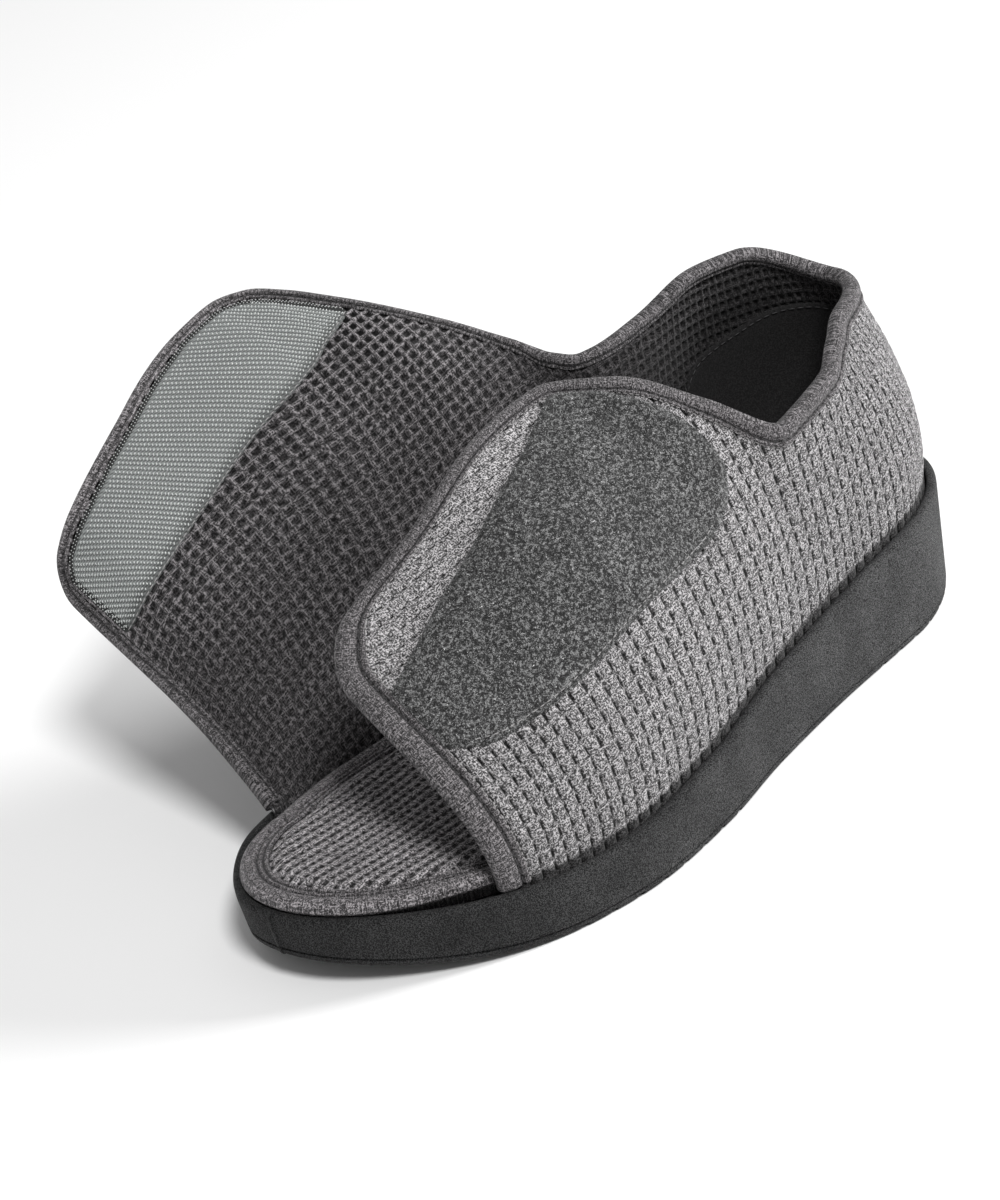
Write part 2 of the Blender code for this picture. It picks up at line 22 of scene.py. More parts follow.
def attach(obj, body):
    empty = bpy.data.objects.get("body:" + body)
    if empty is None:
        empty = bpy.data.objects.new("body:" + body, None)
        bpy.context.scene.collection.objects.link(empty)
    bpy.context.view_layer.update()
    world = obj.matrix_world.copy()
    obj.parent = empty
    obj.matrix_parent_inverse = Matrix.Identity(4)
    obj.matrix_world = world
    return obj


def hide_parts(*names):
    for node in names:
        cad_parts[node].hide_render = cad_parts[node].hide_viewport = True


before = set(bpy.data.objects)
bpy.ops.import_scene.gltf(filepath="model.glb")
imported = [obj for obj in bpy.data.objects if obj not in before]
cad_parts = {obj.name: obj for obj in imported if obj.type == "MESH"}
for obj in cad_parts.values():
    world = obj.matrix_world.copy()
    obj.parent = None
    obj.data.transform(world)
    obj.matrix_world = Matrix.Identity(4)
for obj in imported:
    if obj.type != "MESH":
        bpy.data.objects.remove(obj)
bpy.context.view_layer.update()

Array = np.ndarray
MM = 0.001
BODY = "root"
log = logging.getLogger("slipper")


class Side(Enum):
    """The two sides of the left shoe."""

    LATERAL = 1
    MEDIAL = -1


class Face(Enum):
    """The two faces of the upper's cloth."""

    OUTSIDE = 1
    INSIDE = -1


class Section(NamedTuple):
    """One section of the upper: lead, reach, rise and bow are shares, angles in degrees."""

    side: Side
    station: float
    lead: float
    reach: float
    rise: float
    foot: float
    edge: float
    bow: float


class Crease(NamedTuple):
    """A soft trough in the cloth between two places; a depth below 0 makes a ridge."""

    side: Side
    start: tuple[float, float]
    end: tuple[float, float]
    width: float
    depth: float


class PatchRow(NamedTuple):
    """The two edges of a patch at a station, as shares of the section's height."""

    station: float
    low: float
    high: float


LATERAL, MEDIAL = Side.LATERAL, Side.MEDIAL

OUTER_SECTIONS = (
    (0.862, -0.010, 0.492, 0.645, -10, 62, 0.020), (0.750, 0.000, 0.558, 0.792, -8, 70, 0.008),
    (0.600, 0.000, 0.567, 0.951, -8, 74, 0.000), (0.500, 0.000, 0.505, 0.983, -8, 68, 0.000),
    (0.445, 0.000, 0.355, 0.947, -6, 58, 0.000), (0.380, 0.000, 0.178, 0.785, -4, 36, 0.000),
    (0.320, 0.000, 0.047, 0.622, -3, 10, 0.000), (0.220, 0.000, 0.067, 0.623, -5, 14, 0.000),
    (0.160, 0.000, 0.111, 0.665, -7, 20, 0.000), (0.080, 0.000, 0.152, 0.702, -13, 28, 0.000),
    (0.000, 0.000, 0.105, 0.712, -7, 24, 0.000),
)
INNER_SECTIONS = (
    (0.080, 0.000, 0.102, 0.838, -7, 18, 0.000), (0.160, 0.000, 0.072, 0.834, -6, 16, 0.000),
    (0.260, 0.000, 0.005, 0.792, -5, 2, 0.000), (0.330, 0.000, -0.063, 0.778, -2, -18, 0.000),
    (0.365, -0.018, -0.140, 0.800, -1, -38, 0.000), (0.400, -0.044, -0.250, 0.853, 0, -56, 0.000),
    (0.450, -0.061, -0.455, 0.965, -2, -72, 0.000), (0.500, -0.074, -0.680, 1.075, -4, -76, 0.000),
    (0.530, -0.086, -0.812, 1.116, -5, -78, 0.000), (0.556, -0.093, -0.893, 1.134, -6, -78, 0.000),
    (0.582, -0.090, -0.926, 1.130, -8, -77, 0.000), (0.615, -0.070, -0.913, 1.090, -12, -75, 0.000),
    (0.700, -0.033, -0.830, 0.940, -24, -67, 0.000),
    (0.780, -0.024, -0.798, 0.772, -38, -64, 0.000),
    (0.854, -0.052, -0.840, 0.555, -50, -62, 0.000),
)
UPPER_SECTIONS = tuple(
    Section(side, *row)
    for side, rows in ((LATERAL, OUTER_SECTIONS), (MEDIAL, INNER_SECTIONS))
    for row in rows
)

CREASES = (
    Crease(LATERAL, (0.035, 0.66), (0.060, 0.10), 3.5 * MM, 0.5 * MM),
    Crease(LATERAL, (0.180, 0.70), (0.130, 0.25), 5.0 * MM, 0.4 * MM),
    Crease(LATERAL, (0.395, 0.80), (0.340, 0.35), 6.0 * MM, 0.8 * MM),
    Crease(LATERAL, (0.700, 0.30), (0.520, 0.24), 7.0 * MM, 0.5 * MM),
    Crease(MEDIAL, (0.520, 0.70), (0.800, 0.60), 5.0 * MM, 0.6 * MM),
    Crease(MEDIAL, (0.430, 0.40), (0.780, 0.26), 9.0 * MM, -0.7 * MM),
    Crease(MEDIAL, (0.300, 0.75), (0.340, 0.30), 6.0 * MM, 0.5 * MM),
)

LOOP_PATCH_ROWS = tuple(PatchRow(*row) for row in (
    (0.838, 0.515, 0.738), (0.818, 0.463, 0.762), (0.790, 0.430, 0.784), (0.730, 0.414, 0.828),
    (0.660, 0.411, 0.853), (0.582, 0.409, 0.880), (0.530, 0.408, 0.928), (0.488, 0.415, 0.968),
    (0.461, 0.450, 0.952), (0.441, 0.500, 0.906), (0.4195, 0.600, 0.843), (0.4105, 0.690, 0.745),
))

# The loop patch's high edge: millimetres along the cloth and shares of its height. The shade values are those
# between which the cloth passes from the band painted lighter above it to the rest.
FRONT_BAND_EDGE = ((5, 0.736), (22, 0.789), (38, 0.833), (54, 0.853), (75, 0.880), (100, 0.970))
FRONT_BAND_SHADES = (-0.08, 0.06)

HOOK_STRIP_ROWS = tuple(PatchRow(*row) for row in (
    (0.505, 0.930, 1.000), (0.524, 0.849, 1.000), (0.545, 0.784, 1.000), (0.573, 0.724, 1.000),
    (0.601, 0.703, 1.000), (0.650, 0.692, 1.000), (0.708, 0.690, 1.000), (0.760, 0.686, 1.000),
    (0.818, 0.688, 1.000), (0.838, 0.698, 1.000),
))

COUNTER_SEAM = (
    (LATERAL, 0.200, 0.02), (LATERAL, 0.194, 0.50), (LATERAL, 0.165, 0.64), (LATERAL, 0.105, 0.72),
    (LATERAL, 0.033, 0.79), (MEDIAL, 0.006, 0.80), (MEDIAL, 0.033, 0.753), (MEDIAL, 0.068, 0.699),
    (MEDIAL, 0.105, 0.659), (MEDIAL, 0.136, 0.632), (MEDIAL, 0.165, 0.605), (MEDIAL, 0.184, 0.562),
    (MEDIAL, 0.194, 0.500), (MEDIAL, 0.200, 0.02),
)


def smooth_line(xs: Sequence[float], ys: Sequence[float]) -> Callable[[Array], Array]:
    """Return a function through the points that doesn't overshoot them.

    Args:
        xs: The points' places, rising.
        ys: Their values.

    Returns:
        A function of a place or an array of places.
    """
    xs, ys = np.asarray(xs, float), np.asarray(ys, float)
    step = np.diff(xs)
    slope = np.diff(ys) / step
    tangent = np.zeros_like(ys)
    tangent[0], tangent[-1] = slope[0], slope[-1]
    for i in range(1, len(xs) - 1):
        if slope[i - 1] * slope[i] > 0:
            before, after = 2 * step[i] + step[i - 1], step[i] + 2 * step[i - 1]
            tangent[i] = (before + after) / (before / slope[i - 1] + after / slope[i])

    def value(x: Array) -> Array:
        """Return the line's value at x.

        Args:
            x: A place or an array of places.

        Returns:
            The line's value at x.
        """
        x = np.asarray(x, float)
        i = np.clip(np.searchsorted(xs, x) - 1, 0, len(step) - 1)
        t = np.clip((x - xs[i]) / step[i], 0, 1)
        ahead, behind = t * t * (3 - 2 * t), 1 - t * t * (3 - 2 * t)
        lift = t * (1 - t) ** 2 * tangent[i] - t * t * (1 - t) * tangent[i + 1]
        return behind * ys[i] + ahead * ys[i + 1] + lift * step[i]

    return value


def unit(vectors: Array) -> Array:
    """Return vectors of length 1."""
    return vectors / np.linalg.norm(vectors, axis=-1)[..., None]


def run_lengths(points: Array) -> Array:
    """Return the length run along each line of points, from 0."""
    steps = np.linalg.norm(np.diff(points, axis=-2), axis=-1)
    return np.concatenate([np.zeros(steps.shape[:-1] + (1,)), np.cumsum(steps, axis=-1)], axis=-1)


def smoothstep(low: float, high: float, x: Array) -> Array:
    """Return 0 below low, 1 above high and a smooth rise between them."""
    t = np.clip((x - low) / (high - low), 0, 1)
    return t * t * (3 - 2 * t)


def repeats(pitch: float, marks: Sequence[float], low: float, high: float) -> Array:
    """Return the places of a repeat's marks between two ends.

    Args:
        pitch: The repeat's length.
        marks: Where the lines lie in one repeat, as shares of it.
        low: The first place wanted.
        high: The last place wanted.

    Returns:
        The places, rising.
    """
    first, last = math.floor(low / pitch) - 1, math.ceil(high / pitch) + 1
    cells = np.arange(first, last + 1)[:, None] + np.asarray(marks)[None, :]
    places = np.sort(cells.ravel()) * pitch
    return places[(places >= low) & (places <= high)]


@dataclass(frozen=True)
class SolePlan:
    """The sole's outline and heights, from the slipper's main sizes."""

    length: float = 270 * MM
    ball_width: float = 108 * MM
    heel_centre: float = 35 * MM
    heel_height: float = 36.5 * MM
    forefoot_height: float = 18.2 * MM
    toe_spring: float = 8.5 * MM
    heel_bevel: float = 5.0 * MM
    toe_swing: float = 9.5 * MM
    heel_round: tuple[float, float] = (0.175, 2.0)
    toe_round: tuple[float, float] = (0.26, 2.2)
    widths: tuple[tuple[float, float, float], ...] = (
        (0.00, 0.328, 0.337),
        (0.08, 0.340, 0.350),
        (0.18, 0.365, 0.357),
        (0.32, 0.388, 0.318),
        (0.46, 0.430, 0.315),
        (0.58, 0.487, 0.393),
        (0.68, 0.507, 0.478),
        (0.78, 0.478, 0.507),
        (0.88, 0.443, 0.492),
        (1.00, 0.380, 0.390),
    )
    rim_line: tuple[tuple[float, float], ...] = (
        (0.00, 0.96), (0.14, 0.93), (0.35, 0.62), (0.60, 0.22), (0.80, 0.00), (1.00, 0.20),
    )

    def half_width(self, side: Side, station: Array) -> Array:
        """Return the half width on one side, before the ends are rounded.

        Args:
            side: The side of the shoe.
            station: Places along the sole, as shares of its length.

        Returns:
            The half width on one side, before the ends are rounded.
        """
        column = 1 if side is Side.LATERAL else 2
        stations = [row[0] for row in self.widths]
        return smooth_line(stations, [row[column] for row in self.widths])(station) * self.ball_width

    def ends(self, station: Array) -> Array:
        """Return the share of the width that the two round ends leave.

        Args:
            station: Places along the sole, as shares of its length.

        Returns:
            The share of the width that the two round ends leave.
        """
        share = np.ones_like(station)
        for distance, (reach, power) in ((station, self.heel_round), (1 - station, self.toe_round)):
            short = np.clip(1 - distance / reach, 0, 1)
            share = share * (1 - short**power) ** (1 / power)
        return share

    def point(self, side: Side, station: Array) -> Array:
        """Return x and y on the sole's widest outline.

        Args:
            side: The side of the shoe.
            station: Places along the sole, as shares of its length.

        Returns:
            X and y on the sole's widest outline.
        """
        station = np.asarray(station, float)
        swing = self.toe_swing * np.clip((station - 0.7) / 0.3, 0, 1) ** 2
        y = side.value * self.half_width(side, station) * self.ends(station) - swing
        return np.stack([station * self.length - self.heel_centre, y], axis=-1)

    def rim_height(self, station: Array) -> Array:
        """Return the height of the sole's rim above the floor."""
        share = smooth_line([row[0] for row in self.rim_line], [row[1] for row in self.rim_line])
        return self.forefoot_height + (self.heel_height - self.forefoot_height) * share(station)

    def tread_height(self, station: Array) -> Array:
        """Return the tread's height: toe spring in front and a bevel behind the heel."""
        toe = self.toe_spring * np.clip((station - 0.78) / 0.22, 0, 1) ** 2
        return toe + self.heel_bevel * np.clip((0.09 - station) / 0.09, 0, 1) ** 2

    def ring(self, inset: Array, count: int) -> tuple[Array, Array, Array]:
        """Return the outline moved inwards, heel to toe on the outer side and back.

        Args:
            inset: How far inwards, one value or one for each point.
            count: The points from heel to toe.

        Returns:
            The points, their stations and their sides as 1 or -1.
        """
        half = (1 - np.cos(np.linspace(0, math.pi, count))) / 2
        stations = np.concatenate([half, half[-2:0:-1]])
        sides = np.array([1] * count + [-1] * (count - 2))
        points = np.where(
            (sides == 1)[:, None],
            self.point(Side.LATERAL, stations),
            self.point(Side.MEDIAL, stations),
        )
        along = np.roll(points, -1, axis=0) - np.roll(points, 1, axis=0)
        inward = np.stack([along[:, 1], -along[:, 0]], axis=1)
        moved = points + unit(inward) * np.broadcast_to(inset, len(points))[:, None]
        return moved, stations, sides


@dataclass
class ClothForm:
    """The middle of the upper's cloth wall, as a function of place and height.

    along is the distance round the foot at the wall's base, from the outer front edge by
    way of the heel. up is the share of the section's height; below 0 it goes down the
    stand in the sole's recess. rise is the length up the cloth, 0 at the stand's top.
    """

    plan: SolePlan
    throat_height: float = 85 * MM
    wall: float = 2.6 * MM
    stand: float = 5.2 * MM
    rim_wall: float = 3.0 * MM
    rim_clearance: float = 0.5 * MM
    recess_depth: float = 4.0 * MM
    gap: float = 0.35 * MM
    heel_axis: float = 0.24
    fullness: float = 1.15
    panel_corner: float = 15 * MM
    flap_corner: float = 9 * MM
    samples: int = 181
    sections: tuple[Section, ...] = UPPER_SECTIONS
    creases: tuple[Crease, ...] = CREASES
    trough_lines: list = field(default_factory=list)

    def __post_init__(self) -> None:
        """Lay the base line round the sole and read the sections along it."""
        inset = self.rim_wall + self.rim_clearance + self.wall / 2
        points, stations, sides = self.plan.ring(inset, 2401)
        signed = -stations * sides
        order = np.argsort(signed, kind="stable")
        first, last = self.sections[0].station, self.sections[-1].station
        order = order[(signed[order] >= -first) & (signed[order] <= last)]
        self.signed, self.base = signed[order], points[order]
        self.length = run_lengths(self.base)
        self.total = float(self.length[-1])
        places = [self.place(row.side, row.station) for row in self.sections]
        scales = {
            "lead": self.plan.length, "reach": self.plan.ball_width, "rise": self.throat_height,
            "foot": math.pi / 180, "edge": math.pi / 180, "bow": self.plan.length,
        }
        self.lines = [
            smooth_line(places, [getattr(row, name) * scale for row in self.sections])
            for name, scale in scales.items()
        ]
        self.trough_lines = [self.trough_line(crease) for crease in self.creases]

    def trough_line(self, crease: Crease) -> tuple[Array, Array, float, float]:
        """Return a crease's two ends as places on the cloth, its width and depth.

        Args:
            crease: The crease as its table gives it.

        Returns:
            A crease's two ends as places on the cloth, its width and depth.
        """
        ends = []
        for station, up in (crease.start, crease.end):
            along = self.place(crease.side, station)
            ends.append(np.array([along, up * float(self.pull(along))]))
        return ends[0], ends[1], crease.width, crease.depth

    def place(self, side: Side, station: float) -> float:
        """Return the distance along the base line of a side and station."""
        return float(np.interp(-side.value * station, self.signed, self.length))

    def foot(self, along: Array) -> tuple[Array, Array, Array, Array]:
        """Return the base point's x and y, its station and the inward direction.

        Args:
            along: Places along the base line.

        Returns:
            The base point's x and y, its station and the inward direction.
        """
        x = np.interp(along, self.length, self.base[:, 0])
        y = np.interp(along, self.length, self.base[:, 1])
        station = np.abs(np.interp(along, self.length, self.signed))
        centre = np.maximum(x, self.heel_axis * self.plan.length - self.plan.heel_centre)
        return x, y, station, unit(np.stack([centre - x, -y], axis=-1))

    def pull(self, along: Array) -> Array:
        """Return how strongly a section sets off from its stand."""
        return self.fullness * np.hypot(self.lines[1](along), self.lines[2](along))

    def bottom(self, along: Array) -> Array:
        """Return the share at the bottom of the stand, which is below 0."""
        return -self.stand / self.pull(along)

    def point(self, along: Array, up: Array) -> Array:
        """Return the point of the wall's middle, without its creases.

        Args:
            along: Places along the base line.
            up: Shares of the section's height.

        Returns:
            The point of the wall's middle, without its creases.
        """
        along, up = np.broadcast_arrays(np.asarray(along, float), np.asarray(up, float))
        x, y, station, inward = self.foot(along)
        lead, reach, rise, foot, edge, bow = (line(along) for line in self.lines)
        t = np.clip(up, 0, None)
        pull = self.pull(along)
        ahead = t * t * (3 - 2 * t)
        start, stop = t * (1 - t) ** 2, t * t * (t - 1)
        inside = ahead * reach + pull * (start * np.sin(foot) + stop * np.sin(edge))
        height = ahead * rise + pull * (start * np.cos(foot) + stop * np.cos(edge))
        forward = t * lead + 4 * t * (1 - t) * bow
        bottom = self.plan.rim_height(station) - self.recess_depth + self.gap
        z = bottom + self.stand + height + np.minimum(up, 0) * pull
        return np.stack(
            [x + inward[..., 0] * inside + forward, y + inward[..., 1] * inside, z], axis=-1
        )

    def slopes(self, along: Array, up: Array) -> tuple[Array, Array, Array]:
        """Return the wall's two tangents and its outward normal.

        Args:
            along: Places along the base line.
            up: Shares of the section's height.

        Returns:
            The wall's two tangents and its outward normal.
        """
        du, da = 0.006, 0.5 * MM
        a0, a1 = np.clip(along - da, 0, self.total), np.clip(along + da, 0, self.total)
        side = (self.point(a1, up) - self.point(a0, up)) / (a1 - a0)[..., None]
        rise = (self.point(along, up + du) - self.point(along, up - du)) / (2 * du)
        return side, rise, unit(np.cross(side, rise))

    def troughs(self, along: Array, up: Array) -> Array:
        """Return how deep the creases are at each place.

        Args:
            along: Places along the base line.
            up: Shares of the section's height.

        Returns:
            How deep the creases are at each place.
        """
        spot = np.stack([along, up * self.pull(along)], axis=-1)
        depth = np.zeros(np.shape(along))
        for start, end, width, deep in self.trough_lines:
            run = end - start
            share = np.clip((spot - start) @ run / (run @ run), 0, 1)
            away = np.linalg.norm(spot - start - share[..., None] * run, axis=-1)
            fade = 0.35 + 0.65 * np.sin(math.pi * share)
            depth += deep * fade * np.exp(-((away / width) ** 2))
        return depth

    def moved(self, along: Array, up: Array, outward: Array) -> Array:
        """Return the creased wall's point moved along its normal.

        Args:
            along: Places along the base line.
            up: Shares of the section's height.
            outward: How far to move it outwards.

        Returns:
            The creased wall's point moved along its normal.
        """
        along, up = np.broadcast_arrays(np.asarray(along, float), np.asarray(up, float))
        _, _, normal = self.slopes(along, up)
        outward = np.broadcast_to(outward, along.shape) - self.troughs(along, up)
        return self.point(along, up) + normal * outward[..., None]

    def nearest(self, target: Array, along: Array, up: Array) -> tuple[Array, Array]:
        """Return the place and height of the wall under each target, from a first guess.

        Args:
            target: The points to come near to.
            along: The places guessed at first.
            up: The shares guessed at first.

        Returns:
            The place and height of the wall under each target, from a first guess.
        """
        for _ in range(4):
            side, rise, _ = self.slopes(along, up)
            miss = target - self.point(along, up)
            ss, sr, rr = (side * side).sum(-1), (side * rise).sum(-1), (rise * rise).sum(-1)
            ms, mr = (miss * side).sum(-1), (miss * rise).sum(-1)
            area = ss * rr - sr * sr
            along = np.clip(along + (ms * rr - mr * sr) / area, 0, self.total)
            up = up + (mr * ss - ms * sr) / area
        return along, up

    def section_length(self, along: float) -> float:
        """Return the length of a section's curve above the stand."""
        return float(run_lengths(self.point(np.full(41, along), np.linspace(0, 1, 41)))[-1])

    def top(self, along: Array) -> Array:
        """Return the free edge as a share of the section, with its front corners round.

        Args:
            along: Places along the base line.

        Returns:
            The free edge as a share of the section, with its front corners round.
        """
        along = np.asarray(along, float)
        limit = np.ones_like(along)
        for end, radius in ((0.0, self.panel_corner), (self.total, self.flap_corner)):
            near = np.clip(np.abs(along - end), 0, radius)
            drop = radius - np.sqrt(radius**2 - (radius - near) ** 2)
            limit = limit - drop / self.section_length(end)
        return limit

    def measured(self, along: Array) -> tuple[Array, Array]:
        """Return sample heights up each section and the length of cloth up to each.

        Args:
            along: The sections' places.

        Returns:
            The sample shares and the lengths, a row for each section, 0 at the stand's top.
        """
        share = np.linspace(0, 1, self.samples)[None, :]
        low, high = self.bottom(along)[:, None], self.top(along)[:, None]
        up = low + (high - low) * share
        line = self.point(np.broadcast_to(along[:, None], up.shape), up)
        return up, run_lengths(line) - self.stand

    def free_edge(self, pitch: float, feet: tuple[float, float]) -> tuple[Array, Array]:
        """Return places and heights evenly along the whole free edge.

        Args:
            pitch: The distance between points.
            feet: How far above the rim the edge starts and ends.

        Returns:
            The places along the base and the shares of the height.
        """
        def low(end: float, foot: float) -> float:
            """Return an end's height above the rim as a share of its section."""
            return (self.recess_depth - self.gap + foot - self.stand) / float(self.pull(end))

        dense = 400
        rise = np.linspace(low(0.0, feet[0]), float(self.top(0.0)), dense)
        fall = np.linspace(float(self.top(self.total)), low(self.total, feet[1]), dense)
        across = np.linspace(0, self.total, 4 * dense)
        along = np.concatenate([np.zeros(dense), across[1:-1], np.full(dense, self.total)])
        up = np.concatenate([rise, self.top(across[1:-1]), fall])
        length = run_lengths(self.point(along, up))
        even = np.linspace(0, length[-1], int(length[-1] / pitch) + 1)
        return np.interp(even, length, along), np.interp(even, length, up)


class Layer(NamedTuple):
    """Points, faces and cloth coordinates of a closed layer."""

    points: Array
    faces: list
    uv: Array


def clamped_layer(
    columns: Array,
    rows: Array,
    low: Array,
    high: Array,
    front: Callable[[Array, Array], Array],
    back: Callable[[Array, Array], Array],
    back_rows: int = 16,
) -> Layer:
    """Lay a fine face on a grid, cut it to two edge lines and close it with a plain back.

    Args:
        columns: The places of the grid's columns.
        rows: The heights of the grid's rows, a line for each column.
        low: The lower edge's height in each column.
        high: The upper edge's height in each column.
        front: Gives the face's points from places and heights.
        back: Gives the back's points from places and heights.
        back_rows: The back's rows.

    Returns:
        The closed layer.
    """
    count, tall = rows.shape
    first = np.clip((rows <= low[:, None]).sum(axis=1) - 1, 0, tall - 1)
    last = np.clip(tall - (rows >= high[:, None]).sum(axis=1), 1, tall - 1)
    height = np.clip(rows, low[:, None], high[:, None])
    number = np.arange(tall)[None, :]
    index = np.arange(count)[:, None] * tall + np.clip(number, first[:, None], last[:, None])
    used, compact = np.unique(index, return_inverse=True)
    index = compact.reshape(count, tall)
    place = np.broadcast_to(columns[:, None], rows.shape)
    place, level = place.ravel()[used], height.ravel()[used]
    quads = np.stack([index[:-1, :-1], index[1:, :-1], index[1:, 1:], index[:-1, 1:]], axis=-1)
    faces = []
    for quad in quads.reshape(-1, 4).tolist():
        corners = list(dict.fromkeys(quad))
        if len(corners) > 2:
            faces.append(corners)
    share = np.linspace(0, 1, back_rows)[None, :]
    behind = low[:, None] + (high - low)[:, None] * share
    behind_place = np.broadcast_to(columns[:, None], behind.shape)
    start = len(used)
    spare = np.arange(count * back_rows).reshape(count, back_rows) + start
    plain = np.stack([spare[:-1, :-1], spare[:-1, 1:], spare[1:, 1:], spare[1:, :-1]], axis=-1)
    faces += plain.reshape(-1, 4).tolist()
    foot, crown = index[:, 0], index[:, -1]
    for c in range(count - 1):
        faces.append([int(foot[c]), int(spare[c, 0]), int(spare[c + 1, 0]), int(foot[c + 1])])
        faces.append([int(crown[c + 1]), int(spare[c + 1, -1]), int(spare[c, -1]), int(crown[c])])
    for c in (0, count - 1):
        line = list(dict.fromkeys(index[c].tolist()))
        heights = level[line]
        picks = [int(np.abs(heights - h).argmin()) for h in behind[c]]
        picks[0], picks[-1] = 0, len(line) - 1
        for k in range(back_rows - 1):
            fine = line[picks[k]:picks[k + 1] + 1]
            face = [int(spare[c, k + 1]), int(spare[c, k])] + fine
            faces.append(list(dict.fromkeys(face)))
    points = np.concatenate([front(place, level), back(behind_place.ravel(), behind.ravel())])
    uv = np.concatenate([
        np.stack([place, level], axis=1),
        np.stack([behind_place.ravel(), behind.ravel()], axis=1),
    ])
    return Layer(points, faces, uv)


def linked(name: str, data: object) -> Object:
    """Return a new object of the data, in the scene.

    Args:
        name: The object's name.
        data: Its mesh, camera or light.

    Returns:
        The object.
    """
    item = bpy.data.objects.new(name, data)
    bpy.context.scene.collection.objects.link(item)
    return item


def evaluated_mesh(item: Object, modifier: Modifier) -> Mesh:
    """Return an object's mesh with its modifier applied, and take the modifier off.

    Args:
        item: The object.
        modifier: Its one modifier.

    Returns:
        The new mesh.
    """
    bpy.context.view_layer.update()
    graph = bpy.context.evaluated_depsgraph_get()
    mesh = bpy.data.meshes.new_from_object(item.evaluated_get(graph))
    item.modifiers.remove(modifier)
    return mesh


def piece(
    name: str,
    points: Array,
    faces: Iterable,
    material: Material,
    uv: Optional[Array] = None,
    shade: Optional[Array] = None,
    sharp: float = 180.0,
) -> Object:
    """Make a closed mesh object with outward faces and its own cloth coordinates.

    Args:
        name: The object's name.
        points: Its points.
        faces: Its faces as lists of point numbers.
        material: Its finish.
        uv: A coordinate pair for each point, in metres along and up the cloth.
        shade: The painted shade at each point, mostly from 0 to 1; below 0 it is painted light.
        sharp: The angle in degrees past which an edge stays sharp.

    Returns:
        The object, linked to the scene.
    """
    mesh = bpy.data.meshes.new(name)
    mesh.from_pydata(np.asarray(points).tolist(), [], list(faces))
    shape = bmesh.new()
    shape.from_mesh(mesh)
    bmesh.ops.recalc_face_normals(shape, faces=shape.faces)
    shape.to_mesh(mesh)
    shape.free()
    if uv is not None:
        corners = np.zeros(len(mesh.loops), np.int32)
        mesh.loops.foreach_get("vertex_index", corners)
        mesh.uv_layers.new(name="cloth").data.foreach_set("uv", uv[corners].ravel())
    if shade is not None:
        mesh.attributes.new("shade", "FLOAT", "POINT").data.foreach_set("value", shade)
    mesh.shade_smooth()
    if sharp < 180:
        mesh.set_sharp_from_angle(angle=math.radians(sharp))
    mesh.materials.append(material)
    return linked(name, mesh)


def grid_faces(rows: int, columns: int, closed: bool = False) -> list:
    """Return the quads of a grid of points, row by row.

    Args:
        rows: The grid's rows.
        columns: The points in each row.
        closed: Whether each row is a ring.

    Returns:
        The quads of a grid of points, row by row.
    """
    ends = columns if closed else columns - 1
    r, c = np.meshgrid(np.arange(rows - 1), np.arange(ends), indexing="ij")
    after = (c + 1) % columns
    quads = [r * columns + c, r * columns + after, (r + 1) * columns + after, (r + 1) * columns + c]
    return np.stack(quads, axis=-1).reshape(-1, 4).tolist()


def sheet_faces(rows: int, across: int) -> list:
    """Return the faces of a closed sheet: a grid, its back and the border between them.

    Args:
        rows: The grid's rows.
        across: The points in each row.

    Returns:
        The faces of a closed sheet: a grid, its back and the border between them.
    """
    size = rows * across
    faces = grid_faces(rows, across)
    faces += [[i + size for i in reversed(quad)] for quad in faces]
    border = list(range(across)) + [r * across + across - 1 for r in range(1, rows)]
    border += [(rows - 1) * across + c for c in range(across - 2, -1, -1)]
    border += [r * across for r in range(rows - 2, 0, -1)]
    return faces + [
        [here, here + size, after + size, after] for here, after in zip(border, border[1:] + border[:1])
    ]


def swept(
    name: str,
    profile: Array,
    material: Material,
    uv: Array,
    closed: bool,
    shade: Optional[Array] = None,
) -> Object:
    """Make a closed tube from a closed profile at each station of a path.

    Args:
        name: The object's name.
        profile: Points as stations by profile points by 3.
        material: Its finish.
        uv: Coordinates of the same layout.
        closed: Whether the path is a ring.
        shade: The painted shade, spread over stations by profile points.

    Returns:
        The object.
    """
    stations, around = profile.shape[:2]
    number = np.arange(stations * around).reshape(stations, around)
    rows = np.vstack([number, number[:1]]) if closed else number
    after = np.roll(rows, -1, axis=1)
    quads = np.stack([rows[:-1], after[:-1], after[1:], rows[1:]], axis=-1)
    faces = quads.reshape(-1, 4).tolist()
    if not closed:
        faces += [number[0].tolist(), number[-1][::-1].tolist()]
    dark = None if shade is None else np.broadcast_to(shade, (stations, around)).ravel()
    return piece(name, profile.reshape(-1, 3), faces, material, uv.reshape(-1, 2), dark)


